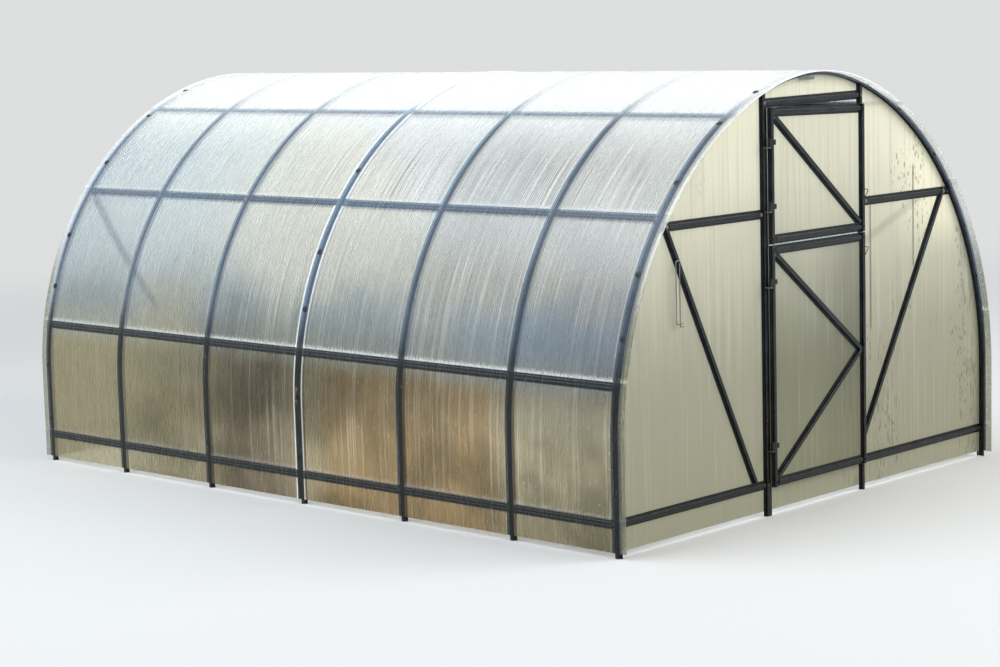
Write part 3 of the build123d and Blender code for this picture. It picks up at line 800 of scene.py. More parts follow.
def shades_behind_gable(t, x, z):
    """Soft shades on the right of the front gable: under the hoop, of a level bar near the top and of a brace
    of the back gable, which is a slanting band."""
    inside_shoulder = minus(t, SHOULDER, length_of(t, plus(t, x, OVERREACH), minus(t, z, LEG)))
    under_hoop = times(t, ramp(t, inside_shoulder, 0.02, 0.06, 0.20, 0), sum_of(t, "GREATER_THAN", x, 0.3))
    bar = times(t, band(t, z, 1.856, 1.876, 0.008), band(t, x, 0.40, 0.78, 0.06), 0.35)
    slant = minus(t, minus(t, z, 1.25), times(t, minus(t, x, 0.531), 0.365))
    brace = times(t, band(t, slant, -0.022, 0.022, 0.016), band(t, x, 0.40, 0.95, 0.05), 0.30)
    return most(t, under_hoop, bar, brace)


def mildew_spots(t, x, z):
    """Upright spots of mildew and thinner drips of it, mostly towards the right and the ground."""
    right = ramp(t, minus(t, x, times(t, z, 0.35)), -0.25, 0.45, 0.08, 0.55)
    spots = placed(t, SPECKS, Place=packed(t, x, times(t, z, 0.40)), Scale=62.0, Size=0.42,
                   Share=times(t, right, 0.8))["Specks"]
    drips = placed(t, SPECKS, Place=packed(t, plus(t, x, 3.0), times(t, z, 0.12)), Scale=85.0, Size=0.42,
                   Share=right)["Specks"]
    return times(t, most(t, spots, drips), ramp(t, x, -0.2, 0.5, 0.25, 1), 0.62)


def gable_sheet_finish(name, upper, lower, upright_lines=(), dim_right=0.0):
    """Creamy sheet with upright flutes, darker towards the ground. dim_right is a shade at the lower right,
    and upright_lines are dark lines as (x, low z, high z)."""
    m, t, s, where, (x, y, z) = finish(name)
    front = sum_of(t, "LESS_THAN", y, 0.0)
    streaks = placed(t, STREAKS, Across=x, Along=z, Coarse=42.0, Fine=120.0, Bright_From=0.55)
    cloud = noise(t, where, 1.7, 4, 0.6)
    waved_z = plus(t, z, times(t, cloud, 0.35))
    colour = mixed(t, ramp(t, waved_z, 0.75, 1.95), lower, upper)
    # Painted light: a lighter patch on the right of the sheet, as where light shines through it.
    backlit = times(t, ramp(t, x, 0.62, 0.95), ramp(t, z, 1.05, 1.40, 0, 0.7))
    colour = mixed(t, backlit, colour, BACKLIGHT_CREAM)
    dim = times(t, ramp(t, x, -0.10, 0.30), ramp(t, z, 1.22, 1.27, dim_right, 0))
    colour = tinted(t, dim, colour, HALF_TONE)
    dirt = placed(t, GROUND_DIRT, Place=where, Height=0.18, Blend=0.75, Wave=0.35)["Dirt"]
    colour = mixed(t, times(t, dirt, 0.35), colour, DAMP)
    colour = mixed(t, times(t, streaks["Dark"], 0.20), colour, DIRT_STREAK)
    colour = mixed(t, times(t, streaks["Bright"], 0.14), colour, CLEAN_STREAK)
    colour = tinted(t, times(t, shades_behind_gable(t, x, z), front), colour, BACK_SHADE)
    colour = mixed(t, mildew_spots(t, x, z), colour, MILDEW)
    for line, bottom, top in upright_lines:
        across = band(t, x, line - UPRIGHT_LINE, line + UPRIGHT_LINE, 0.002)
        on = times(t, across, band(t, z, bottom, top, 0.01))
        colour = mixed(t, times(t, on, front, 0.75), colour, MILDEW)
    t.links.new(colour, s.inputs["Base Color"])
    s.inputs["Transmission Weight"].default_value = 0.35
    s.inputs["IOR"].default_value = 1.3
    let_light_in(t, s, 0.5)
    t.links.new(ramp(t, cloud, 0.3, 0.7, 0.45, 0.6), s.inputs["Roughness"])
    bump(t, noise(t, where, 1.0, 0, 0.5, (110, 110, 1.2)), s, 0.25, 0.002)
    return m


RUST_BROWN = (0.13, 0.055, 0.022)


def steel_finish(name, dark, light, low_dark, metallic, roughness, fold_wear_and_glint, rust):
    """Coated steel in two blended tones, dirtier by the ground, bare on its folds and spotted with rust. The
    bare folds are also painted highlights.
    """
    m, t, s, where, _ = finish(name)
    grain = noise(t, where, 9.0, 5, 0.6)
    fold = t.nodes.new("ShaderNodeAttribute")
    fold.attribute_name = "fold"
    colour = mixed(t, ramp(t, grain, 0.35, 0.65), dark, light)
    dirt = placed(t, GROUND_DIRT, Place=where, Height=0.45, Blend=0.4, Wave=0.2)["Dirt"]
    colour = mixed(t, dirt, colour, low_dark)
    rusty = placed(t, SPECKS, Place=where, Scale=55.0, Size=0.42, Share=rust)["Specks"]
    colour = mixed(t, times(t, rusty, 0.8), colour, RUST_BROWN)
    # Bare metal and painted highlights along the folds.
    bare_or_glinting = placed(t, FOLD_WEAR_AND_GLINT, Fold=fold.outputs["Fac"], Place=where, Amount=fold_wear_and_glint)["Wear"]
    colour = mixed(t, bare_or_glinting, colour, tuple(min(1, 3.0 * c) for c in light))
    t.links.new(colour, s.inputs["Base Color"])
    s.inputs["Metallic"].default_value = metallic
    t.links.new(ramp(t, grain, 0.3, 0.7, roughness - 0.08, roughness + 0.12), s.inputs["Roughness"])
    bump(t, noise(t, where, 60.0, 1, 0.6), s, 0.15, 0.0008)
    return m


ROOF_STEEL = steel_finish(
    "zinc_coated_roof_steel", (0.028, 0.036, 0.046), (0.050, 0.064, 0.080), (0.020, 0.022, 0.022),
    metallic=0.5, roughness=0.42, fold_wear_and_glint=0.4, rust=0.25)
# Painted shade: the gables' zinc coated steel made near black, as dark as it stands against the light behind
# it.
BACKLIT_GABLE_STEEL = steel_finish(
    "dark_coated_gable_steel", (0.007, 0.010, 0.012), (0.018, 0.023, 0.026), (0.008, 0.010, 0.010),
    metallic=0.4, roughness=0.38, fold_wear_and_glint=0.5, rust=0.15)
PLAIN_STEEL = steel_finish(
    "plain_rod_steel", (0.16, 0.16, 0.15), (0.26, 0.26, 0.25), (0.12, 0.11, 0.10),
    metallic=0.7, roughness=0.42, fold_wear_and_glint=0.3, rust=0.5)
WASHER = steel_finish(
    "dark_rubber_washer", (0.010, 0.011, 0.013), (0.022, 0.023, 0.026), (0.012, 0.012, 0.012),
    metallic=0.0, roughness=0.55, fold_wear_and_glint=0.0, rust=0.0)
ROOF_SHEET = roof_sheet_finish()
GABLE_SHEET = gable_sheet_finish("creamy_gable_sheet", (0.80, 0.79, 0.66), (0.42, 0.42, 0.33), UPRIGHT_LINES)
# The door sheet's dark lower tone stands partly for painted shade, and dim_right is painted shade at its
# lower right.
LEAF_SHEET = gable_sheet_finish("creamy_door_sheet", (0.72, 0.72, 0.60), (0.24, 0.25, 0.18), dim_right=0.55)


# Hoops and purlins


def purlin_skin(girth):
    """The six lengths of a purlin between the hoops, its crown outwards at that place round the hoop."""
    x, z, nx, nz = (float(v) for v in hoop_place(np.array(girth)))
    lengths = []
    for first, second in zip(HOOPS, HOOPS[1:]):
        lengths.append(bar_skin(
            (x, first + HAT, z), (x, second - HAT, z), (nx, 0, nz), square(0), square(1)))
    return joined(*lengths)


def roof_steel_piece(name, skin):
    """A folded hoop or purlin in place of its CAD node."""
    piece(name + "_folded", skin, "greenhouse", "roof_steel", ROOF_STEEL, name)


for name, y in zip(HOOP_NAMES, HOOPS):
    roof_steel_piece(name, hoop_skin(y))
for name, girth in PURLINS.items():
    far_purlin = purlin_skin(girth)
    roof_steel_piece("far_" + name, far_purlin)
    roof_steel_piece("near_" + name, mirrored(far_purlin, 0))
roof_steel_piece("ridge_purlin", purlin_skin(HALF_GIRTH))


# Gable frames


def gable_bar(start, end, start_cut, end_cut, front=FRAME_FRONT):
    """A bar from one (x, z) to another in a gable, its crown to the front."""
    return bar_skin((start[0], front, start[1]), (end[0], front, end[1]), (0, -1, 0), start_cut, end_cut)


def post_skin(x):
    """A post from the ground up to the hoop."""
    return gable_bar((x, 0), (x, RIDGE), square(0), hoop_cut(1))


def side_rail_skin(side, z):
    """A level rail from the post's edge out to the hoop."""
    return gable_bar((side * (POST + HAT), z), (side * HALF_WIDTH, z), square(0), hoop_cut(1))


def brace_skin(side, foot):
    """The side panel's brace, cut by the post and base rail below and by the middle rail's top edge above."""
    post_edge, floor_edge = upright_cut(side * (POST + HAT)), level_cut(BASE_RAIL + HAT)
    return gable_bar(
        (side * foot[0], foot[1]), (side * BRACE_TOP, MIDDLE_RAIL),
        lambda *bar: np.maximum(post_edge(*bar), floor_edge(*bar)), level_cut(MIDDLE_RAIL + HAT))


def brace_edges(side, foot):
    """The planes of the brace's two edges, where the middle rail's halves stop against it."""
    d = np.array([side * (BRACE_TOP - foot[0]), 0, MIDDLE_RAIL - foot[1]])
    d /= np.linalg.norm(d)
    n = np.array([d[2], 0, -d[0]])
    middle = np.array([side * BRACE_TOP, 0, MIDDLE_RAIL])
    return plane_cut(middle - side * n * HAT, n), plane_cut(middle + side * n * HAT, n)


def middle_rail_skin(side, foot):
    """The side panel's level rail in two halves, from the post to the brace and on to the hoop."""
    inner, outer = brace_edges(side, foot)
    start, end = (side * (POST + HAT), MIDDLE_RAIL), (side * HALF_WIDTH, MIDDLE_RAIL)
    return joined(gable_bar(start, end, square(0), inner), gable_bar(start, end, outer, hoop_cut(1)))


def lintel_skin(rise):
    """The rail over the doorway, which climbs by a rise from the left post to the right one."""
    left, right = upright_cut(-POST + HAT), upright_cut(POST - HAT)
    return gable_bar((-POST, LINTEL - rise / 2), (POST, LINTEL + rise / 2), left, right)


def base_rails_skin():
    """The three level rails near the ground, between the hoop's legs and the posts."""
    middle = gable_bar((-POST + HAT, BASE_RAIL), (POST - HAT, BASE_RAIL), square(0), square(1))
    return joined(side_rail_skin(-1, BASE_RAIL), middle, side_rail_skin(1, BASE_RAIL))


def door_stop_skin():
    """The lip of the left post that the leaves shut against: a strip in the plane of its crown, from the
    crown's fold to the line of the post's edge."""
    left, right, y = -POST + HAT_CROWN - FOLD - STEEL / 2, -POST + HAT, FRAME_FRONT
    x, z = np.array([(left, 0.0), (right, 0.0), (right, DOOR_STOP_TOP), (left, DOOR_STOP_TOP)]).T
    points = np.stack([np.stack([x, np.full(4, at), z], -1) for at in (y + STEEL, y)], 1)
    return loop_skin(points, np.zeros(4), np.array([0, STEEL]))


left_brace, right_brace = brace_skin(-1, LEFT_FOOT), brace_skin(1, RIGHT_FOOT)
left_rail, right_rail = middle_rail_skin(-1, LEFT_FOOT), middle_rail_skin(1, RIGHT_FOOT)
front_pieces = {
    "front_left_post": joined(post_skin(-POST), door_stop_skin()), "front_right_post": post_skin(POST),
    "front_lintel": lintel_skin(LINTEL_RISE), "front_base_rails": base_rails_skin(),
    "front_left_rail": left_rail, "front_right_rail": right_rail,
    "front_left_brace": left_brace, "front_right_brace": right_brace,
}
back_pieces = {
    "back_posts": joined(post_skin(-POST), post_skin(POST)),
    "back_top_rail": lintel_skin(0), "back_base_rails": base_rails_skin(),
    "back_middle_rails": joined(left_rail, right_rail), "back_braces": joined(left_brace, right_brace),
}
for name, skin in front_pieces.items():
    piece(name + "_folded", skin, "greenhouse", "gable_steel", BACKLIT_GABLE_STEEL, name)
for name, skin in back_pieces.items():
    piece(name + "_folded", mirrored(skin, 1), "greenhouse", "gable_steel", BACKLIT_GABLE_STEEL, name)


# Small round and flat shapes


# A direction along which no round piece starts
OFF_AXIS = (0.3, 0.5, 0.81)


def round_skin(path, radius, sides, twist=0.0):
    """A circle carried along a path, with its own radius at each station:
    point = path(j) + r(j) (cos a N + sin a B), where N and B stand square to the path and turn with it."""
    path = np.array(path, float)
    radius = np.broadcast_to(radius, len(path))
    heading = np.gradient(path, axis=0)
    heading /= np.linalg.norm(heading, axis=1)[:, None]
    first = np.cross(heading[0], OFF_AXIS)
    normals = [first / np.linalg.norm(first)]
    for d in heading[1:]:
        n = normals[-1] - d * (normals[-1] @ d)
        normals.append(n / np.linalg.norm(n))
    n = np.array(normals)
    b = np.cross(heading, n)
    a = np.linspace(0, 2 * np.pi, sides + 1)[:-1, None, None] + twist
    points = path + radius[:, None] * (np.cos(a) * n + np.sin(a) * b)
    length = np.concatenate([[0], np.cumsum(np.linalg.norm(np.diff(path, axis=0), axis=1))])
    return outward(loop_skin(points, np.zeros(sides), length))


def rounded(corners, bend, steps=5, most_share=0.45):
    """A path whose inner corners are eased by (1-t)^2 A + 2t(1-t) C + t^2 B over a bend's length each way, or
    over the largest share of a side where that is less."""
    corners = np.array(corners, float)
    t = np.linspace(0, 1, steps)[:, None]
    path = [corners[:1]]
    for before, at, after in zip(corners, corners[1:], corners[2:]):
        a = at + (before - at) * min(bend / np.linalg.norm(before - at), most_share)
        b = at + (after - at) * min(bend / np.linalg.norm(after - at), most_share)
        path.append((1 - t) ** 2 * a + 2 * t * (1 - t) * at + t ** 2 * b)
    return np.vstack(path + [corners[-1:]])


def turned_skin(base, axis, rows, sides, twist=0.0):
    """A turned piece: rows of (height, radius) along an axis from its base."""
    axis = np.array(axis, float)
    heights, radii = np.array(rows, float).T
    return round_skin(np.array(base, float) + heights[:, None] * axis, radii, sides, twist)


def plate_skin(outline, low, high, up):
    """A flat plate: an outline of (a, b) points carried from low to high along the axis called up."""
    outline = np.array(outline, float)
    axes = [i for i in range(3) if i != up]
    points = np.empty((len(outline), 2, 3))
    points[:, :, axes[0]] = outline[:, :1]
    points[:, :, axes[1]] = outline[:, 1:]
    points[:, :, up] = (low, high)
    return outward(loop_skin(points, np.zeros(len(outline)), np.array([0, high - low])))


def eased_box(x0, x1, z0, z1, corner):
    """The outline of a rectangle with its corners cut."""
    return [(x0 + corner, z0), (x1 - corner, z0), (x1, z0 + corner), (x1, z1 - corner),
            (x1 - corner, z1), (x0 + corner, z1), (x0, z1 - corner), (x0, z0 + corner)]


# Hinges, catches and bolts


def knuckle_skin(z, sides=24):
    """The hollow barrel of a hinge: a closed ring profile of (radius, height) turned round the pin."""
    ring = np.array([(KNUCKLE_BORE, -1), (KNUCKLE, -0.98), (KNUCKLE, 0.98), (KNUCKLE_BORE, 1)])
    a = np.linspace(0, 2 * np.pi, sides + 1)
    points = np.stack([
        HINGE_X + ring[:, :1] * np.cos(a), HINGE_Y + ring[:, :1] * np.sin(a),
        z + KNUCKLE_HALF * ring[:, 1:] + 0 * a], -1)
    n, m = points.shape[:2]
    i, j = np.arange(n)[:, None], np.arange(m - 1)[None, :]
    nxt = (i + 1) % n
    after = (j + 1) % (m - 1)
    faces = np.stack([i * m + j, nxt * m + j, nxt * m + after, i * m + after], -1).reshape(-1, 4)
    flat = points.reshape(-1, 3)
    return outward({"points": flat, "faces": faces, "uv": flat[:, :2], "fold": np.zeros(n * m)})


def strap_skin(z):
    """The hinge's strap on the leaf with two rivet heads."""
    half_height, reach, corner = 0.012, 0.042, 0.003
    plate = plate_skin(eased_box(HINGE_X + KNUCKLE - 0.001, LEAF_LEFT + reach, z - half_height,
                                 z + half_height, corner), HINGE_Y, LEAF_FRONT, 1)
    head = [(-0.0005, 0.004), (0.0012, 0.004), (0.002, 0.0025)]
    rivets = [turned_skin((LEAF_LEFT + at, HINGE_Y, z), (0, -1, 0), head, 10) for at in (0.014, 0.031)]
    return joined(plate, *rivets)


def catch_skin(z):
    """The three-cornered wire catch at the free edge of a leaf."""
    half_height, wire, nose = 0.021, 0.002, 0.006
    y, root, tip = LEAF_FRONT - 0.001, LEAF_RIGHT - HAT, LEAF_RIGHT + 0.012
    corners = [(root, y, z + half_height), (tip - nose, y, z + half_height),
               (tip, y, z + half_height - nose), (root, y, z - half_height)]
    return round_skin(rounded(corners, 0.004, 4), wire, 8)


def lug_skin(z):
    """The post's lug, round at its eye, and the pin that stands on it."""
    eye, thickness, top = 0.0074, 0.005, z - KNUCKLE_HALF - 0.0006
    a = np.radians(np.linspace(180, 360, 8))
    outline = [(-POST - HAT_CROWN + 0.011, FRAME_FRONT), (-POST - HAT_CROWN, FRAME_FRONT)]
    outline += list(zip(HINGE_X + eye * np.cos(a), HINGE_Y + eye * np.sin(a)))
    pin = turned_skin((HINGE_X, HINGE_Y, top), (0, 0, 1),
                      [(-0.001, PIN), (0.0395, PIN), (0.0406, 0.75 * PIN)], 16)
    return joined(plate_skin(outline, top - thickness, top, 2), pin)


def bolt_skin(x, z, front, radius=0.0062):
    """A bolt's six-sided head on a small washer."""
    r = radius
    rows = [(-0.0004, r * 1.5), (0.0008, r * 1.5), (0.0010, r), (0.0032, r), (0.0038, 0.7 * r)]
    return turned_skin((x, front, z), (0, -1, 0), rows, 6, 0.3)


# Door leaves
STILE_LEFT, STILE_RIGHT = LEAF_LEFT + 2 * HAT, LEAF_RIGHT - 2 * HAT


def leaf_skin(bottom, top, fall):
    """Two stiles and two rails; the top edge falls towards the free edge."""
    slope = fall / (LEAF_RIGHT - LEAF_LEFT)
    top_cut = plane_cut((LEAF_LEFT, 0, top), (slope, 0, 1))
    stiles = [gable_bar((x, bottom), (x, top), square(0), top_cut, LEAF_FRONT)
              for x in (LEAF_LEFT + HAT, LEAF_RIGHT - HAT)]
    ends = upright_cut(STILE_LEFT), upright_cut(STILE_RIGHT)
    low = gable_bar((LEAF_LEFT, bottom + HAT), (LEAF_RIGHT, bottom + HAT), *ends, LEAF_FRONT)
    high = gable_bar((LEAF_LEFT, top - HAT), (LEAF_RIGHT, top - HAT - fall), *ends, LEAF_FRONT)
    return joined(*stiles, low, high)


def leaf_brace_skin(start, end, low, high):
    """A slanting brace between the stiles from one height to another, cut level at its top and bottom."""
    left, right = upright_cut(STILE_LEFT), upright_cut(STILE_RIGHT)
    first, second = (high, low) if end < start else (low, high)
    first, second = level_cut(first), level_cut(second)
    return gable_bar(
        (STILE_LEFT, start), (STILE_RIGHT, end), lambda *bar: np.maximum(left(*bar), first(*bar)),
        lambda *bar: np.minimum(right(*bar), second(*bar)), LEAF_FRONT)


def leaf_with_fittings(name):
    """A leaf's frame with its two straps, their knuckles and the catch, and bolt heads at its corners."""
    bottom, top, fall = LEAVES[name]
    bolts = [bolt_skin(x, z, LEAF_FRONT, 0.005)
             for x in (LEAF_LEFT + HAT, LEAF_RIGHT - HAT) for z in (bottom + HAT, top - HAT - fall)]
    hinges = [f(z) for z in HINGES[name] for f in (strap_skin, knuckle_skin)]
    return joined(leaf_skin(bottom, top, fall), catch_skin(CATCHES[name]), *hinges, *bolts)


def leaf_braces(name):
    """The braces of a leaf: one that falls across the upper leaf, or two that meet halfway up the lower."""
    bottom, top, _ = LEAVES[name]
    low, high, middle = bottom + 2 * HAT, top - 2 * HAT, (bottom + top) / 2
    if name == "upper":
        return leaf_brace_skin(high, low, low, high)
    return joined(leaf_brace_skin(high, middle, middle + SEAT, high),
                  leaf_brace_skin(low, middle, low, middle - SEAT))


for name, braces in (("upper", "upper_leaf_brace"), ("lower", "lower_leaf_braces")):
    frame_name, body = name + "_leaf_frame", name + "_leaf"
    piece(frame_name + "_folded", leaf_with_fittings(name), body, "gable_steel", BACKLIT_GABLE_STEEL, frame_name)
    piece(braces + "_folded", leaf_braces(name), body, "gable_steel", BACKLIT_GABLE_STEEL, braces)


# Pins, hook, bolts and washers


def hook_rod_skin(stand_off, drop, across, toe):
    """A bent rod of the wind hook: out of the left brace, aside, down, and back in a short toe."""
    z = MIDDLE_RAIL - drop
    x = -LEFT_FOOT[0] - (BRACE_TOP - LEFT_FOOT[0]) * (z - LEFT_FOOT[1]) / (MIDDLE_RAIL - LEFT_FOOT[1])
    front, low = FRAME_FRONT - stand_off, z - HOOK_LENGTH
    corners = [(x, FRAME_FRONT, z), (x, front, z), (x - across, front, z), (x - across, front, low),
               (x - across + toe, front, low)]
    return round_skin(rounded(corners, HOOK_BEND), ROD, 10)


def washer_skin(y, girth, out):
    """A screw with its broad washer, square to the sheet, on the crown of a hoop."""
    x, z, nx, nz = (float(v) for v in hoop_place(np.array(girth), out))
    return turned_skin((x, y, z), (nx, 0, nz), SCREW_ROWS, 10)


def screws_along_hoops():
    """The screws of the end and middle hoops on both sides, and one by each foot of the fifth hoop."""
    places = [(y, girth) for y in (HOOPS[0], HOOPS[3], HOOPS[6]) for girth in SCREWS
              if y or DRAWN_SCREWS[-1] < girth < MIDDLE_SCREWS_END]
    places.append((HOOPS[4], SCREWS[0]))
    washers = []
    for y, girth in places:
        out = SEAT + SHEET if y else 2 * (SEAT + SHEET)
        washers += [washer_skin(y, girth, out), washer_skin(y, 2 * HALF_GIRTH - girth, out)]
    return joined(*washers)


piece("door_hinge_pins_round", joined(*(lug_skin(z) for heights in HINGES.values() for z in heights)),
      "greenhouse", "plain_steel", PLAIN_STEEL, "door_hinge_pins")
piece("wind_hook_round", joined(*(hook_rod_skin(*rod) for rod in HOOK_RODS)),
      "greenhouse", "plain_steel", PLAIN_STEEL, "wind_hook")

rail_end = POST + HAT + 0.012
bolt_places = [
    (-POST, LINTEL - LINTEL_RISE / 2), (POST, LINTEL + LINTEL_RISE / 2),
    (-rail_end, MIDDLE_RAIL), (rail_end, MIDDLE_RAIL), (-BRACE_TOP, MIDDLE_RAIL), (BRACE_TOP, MIDDLE_RAIL),
    *((POST, z) for z in CATCH_BOLTS), (-POST, BASE_RAIL), (POST, BASE_RAIL)]
piece("gable_bolts", joined(*(bolt_skin(x, z, FRAME_FRONT) for x, z in bolt_places)),
      "greenhouse", "plain_steel", PLAIN_STEEL)
ridge_plate = plate_skin(eased_box(*RIDGE_PLATE, 0.002), FRAME_FRONT + 0.0002, FRAME_FRONT - 0.0015, 1)
piece("ridge_joint_plate", ridge_plate, "greenhouse", "plain_steel", PLAIN_STEEL)
piece("sheet_screws", screws_along_hoops(), "greenhouse", "plain_steel", WASHER)


# Sheets. The front roof sheet draws its swells first and the back one after it.
rng = np.random.default_rng(7)


def slab_skin(outer, inner, uv, fold):
    """A sheet of (a, b) points on an outer and an inner face, closed round its four edges."""
    n, m = outer.shape[:2]
    i, j = np.arange(n - 1)[:, None], np.arange(m - 1)[None, :]
    face = np.stack([i * m + j, (i + 1) * m + j, (i + 1) * m + j + 1, i * m + j + 1], -1).reshape(-1, 4)
    count = n * m
    rim = np.concatenate([
        np.arange(m - 1), (np.arange(n - 1)) * m + m - 1, (n - 1) * m + np.arange(m - 1, 0, -1),
        np.arange(n - 1, 0, -1) * m])
    after = np.roll(rim, -1)
    edge = np.stack([rim, after, after + count, rim + count], -1)
    return {
        "points": np.concatenate([outer.reshape(-1, 3), inner.reshape(-1, 3)]),
        "faces": np.vstack([face, face[:, ::-1] + count, edge]),
        "uv": np.concatenate([uv.reshape(-1, 2)] * 2),
        "fold": np.concatenate([fold.reshape(-1)] * 2),
    }


def cells_of(places, lines):
    """The field between lines that each place lies in, and sin^2 of its share of the way across it."""
    cell = np.clip(np.searchsorted(lines, places) - 1, 0, len(lines) - 2)
    share = (places - lines[cell]) / (lines[cell + 1] - lines[cell])
    return cell, np.sin(np.pi * share) ** 2


def roof_sheet_skin(lapped, stations_round=210, stations_along=100):
    """The roof sheet bent over the hoops: girth runs from foot to foot and y from the overhang to the lap.
    It stands off the crowns by the seat, rises by its own thickness over the other sheet at the lap, and
    swells a little in each field between hoops and purlins: depth times sin^2 along times sin^2 round."""
    girth = np.linspace(SHEET_FOOT, 2 * HALF_GIRTH - SHEET_FOOT, stations_round)
    y = np.linspace(HOOPS[0] - ROOF_OVERHANG, LAP, stations_along)
    rise = np.zeros_like(y)
    if lapped:
        start = -LAP - SEAT
        y = np.union1d(y, [start - JOGGLE, start - 0.7 * JOGGLE, start - 0.3 * JOGGLE, start])
        y = y[np.concatenate([[True], np.diff(y) > 1e-6])]
        rise = np.clip((y - (start - JOGGLE)) / JOGGLE, 0, 1)
        rise = rise * rise * (3 - 2 * rise) * (SHEET + SEAT)
    lines_y = np.array([HOOPS[0] - 1.0, *HOOPS[:4], 1.0])
    half = [0.0, *PURLINS.values()]
    lines_g = np.array(half + [HALF_GIRTH] + [2 * HALF_GIRTH - g for g in half[::-1]])
    cell_y, swell_y = cells_of(y, lines_y)
    cell_g, swell_g = cells_of(girth, lines_g)
    depth = rng.uniform(*SWELL, (len(lines_y), len(lines_g)))
    depth[0] = depth[-2:] = 0
    swell = depth[cell_y[:, None], cell_g[None, :]] * swell_y[:, None] * swell_g[None, :]
    low = np.minimum(SEAT + rise[:, None] + swell, 2 * SEAT + SHEET - SWELL_CLEARANCE)
    faces = []
    for out in (low + SHEET, low):
        x, z = hoop_place(girth[None, :], out)[:2]
        faces.append(np.stack([x, np.broadcast_to(y[:, None], x.shape), z], -1))
    uv = np.stack(np.broadcast_arrays(y[:, None], girth[None, :]), -1)
    return slab_skin(faces[0], faces[1], uv, np.zeros(uv.shape[:2]))


front_sheet, back_sheet = roof_sheet_skin(True), mirrored(roof_sheet_skin(False), 1)
for name, skin in (("front_roof_sheet", front_sheet), ("back_roof_sheet", back_sheet)):
    piece(name + "_bent", skin, "greenhouse", "roof_polycarbonate", ROOF_SHEET, name)

flat_sheets = {
    "front_left_sheet": GABLE_SHEET, "front_right_sheet": GABLE_SHEET, "front_top_sheet": GABLE_SHEET,
    "front_sill_sheet": GABLE_SHEET, "back_gable_sheet": GABLE_SHEET,
    "upper_leaf_sheet": LEAF_SHEET, "lower_leaf_sheet": LEAF_SHEET,
}
for name, sheet in flat_sheets.items():
    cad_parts[name].data.materials.clear()
    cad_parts[name].data.materials.append(sheet)


# Stage: a pale floor, a pale world, three soft lamps and the camera
PALE = (0.73, 0.735, 0.74)
SKY_TINT, SKY_STRENGTH = (0.93, 0.96, 1.0), 0.55
FLOOR_RADIUS, FLOOR_DROP, FLOOR_SIDES = 80, 0.0005, 128
FLOOR_FADE = (4.5, 12)


def pale_world():
    """A soft even light that the camera, reflections and clear sheets see as the pale backdrop."""
    world = bpy.data.worlds.new("pale_studio")
    bpy.context.scene.world = world
    world.use_nodes = True
    t = world.node_tree
    t.nodes.clear()
    soft = t.nodes.new("ShaderNodeBackground")
    soft.inputs["Color"].default_value = (*SKY_TINT, 1)
    soft.inputs["Strength"].default_value = SKY_STRENGTH
    seen = t.nodes.new("ShaderNodeBackground")
    seen.inputs["Color"].default_value = (*PALE, 1)
    seen.inputs["Strength"].default_value = 1.0
    path = t.nodes.new("ShaderNodeLightPath").outputs
    either = plus(t, path["Is Camera Ray"], path["Is Glossy Ray"])
    either = sum_of(t, "ADD", either, path["Is Transmission Ray"], clamp=True)
    mix = t.nodes.new("ShaderNodeMixShader")
    t.links.new(either, mix.inputs[0])
    t.links.new(soft.outputs[0], mix.inputs[1])
    t.links.new(seen.outputs[0], mix.inputs[2])
    t.links.new(mix.outputs[0], t.nodes.new("ShaderNodeOutputWorld").inputs[0])


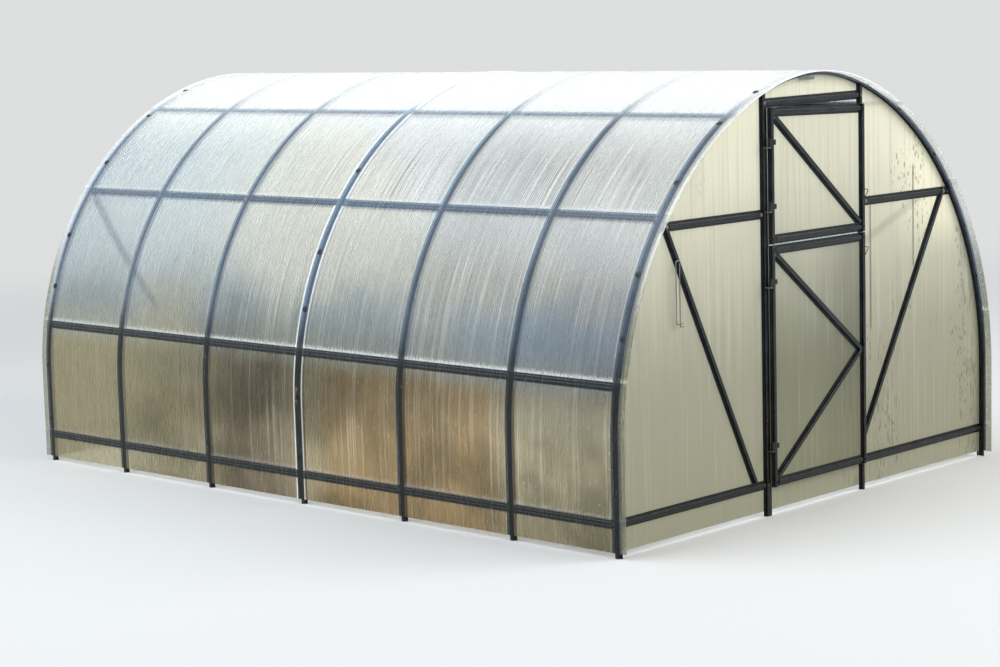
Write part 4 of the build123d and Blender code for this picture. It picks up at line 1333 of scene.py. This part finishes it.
def pale_floor():
    """A wide round floor, matt near the greenhouse and fading into the backdrop further out."""
    a = np.linspace(0, 2 * np.pi, FLOOR_SIDES + 1)[:-1]
    rim = np.stack([FLOOR_RADIUS * np.cos(a), FLOOR_RADIUS * np.sin(a), np.full_like(a, -FLOOR_DROP)], -1)
    mesh = bpy.data.meshes.new("pale_floor")
    mesh.from_pydata(rim.tolist(), [], [list(range(len(a)))])
    floor = bpy.data.objects.new("pale_floor", mesh)
    bpy.context.scene.collection.objects.link(floor)
    m, t, s, where, _ = finish("pale_floor")
    s.inputs["Base Color"].default_value = (*PALE, 1)
    s.inputs["Roughness"].default_value = 0.9
    s.inputs["Specular IOR Level"].default_value = 0.1
    far = t.nodes.new("ShaderNodeVectorMath")
    far.operation = "LENGTH"
    t.links.new(where, far.inputs[0])
    glow = t.nodes.new("ShaderNodeEmission")
    glow.inputs["Color"].default_value = (*PALE, 1)
    blend = t.nodes.new("ShaderNodeMixShader")
    t.links.new(ramp(t, far.outputs["Value"], *FLOOR_FADE), blend.inputs[0])
    t.links.new(s.outputs[0], blend.inputs[1])
    t.links.new(glow.outputs[0], blend.inputs[2])
    t.links.new(blend.outputs[0], t.nodes["Material Output"].inputs["Surface"])
    mesh.materials.append(m)


def lamp(name, place, aim, size, power, colour):
    """A round soft lamp that points from its place to an aim."""
    data = bpy.data.lights.new(name, "AREA")
    data.shape = "DISK"
    data.size = size
    data.energy = power
    data.color = colour
    obj = bpy.data.objects.new(name, data)
    obj.location = place
    obj.rotation_euler = (Vector(aim) - Vector(place)).to_track_quat("-Z", "Y").to_euler()
    bpy.context.scene.collection.objects.link(obj)


def photo_camera():
    """The photo's camera, as it was fitted to the hoops: its place, its right, up and back, and its lens."""
    place = (-9.120198, -8.505445, 2.334628)
    right = Vector((0.6804013, -0.7323457, -0.0269040))
    up = Vector((0.1152961, 0.0707191, 0.9908106))
    back = Vector((-0.7237133, -0.6772507, 0.1325539))
    data = bpy.data.cameras.new("photo_camera")
    data.sensor_fit = "HORIZONTAL"
    data.sensor_width = 36
    data.lens = 85.736
    data.clip_end = 300
    camera = bpy.data.objects.new("photo_camera", data)
    camera.matrix_world = Matrix.Translation(place) @ Matrix((right, up, back)).transposed().to_4x4()
    bpy.context.scene.collection.objects.link(camera)
    bpy.context.scene.camera = camera


pale_world()
pale_floor()
lamp("soft_key", place=(7, -9, 9), aim=(0, 0, 1), size=7, power=800, colour=(1.0, 0.97, 0.92))
lamp("soft_top", place=(-5, 2, 9), aim=(0, 0, 1), size=8, power=620, colour=(0.90, 0.96, 1.0))
lamp("soft_front", place=(1, -12, 5), aim=(0, -2, 1), size=6, power=350, colour=(1.0, 0.97, 0.90))
photo_camera()
bpy.context.scene.view_settings.view_transform = "Standard"
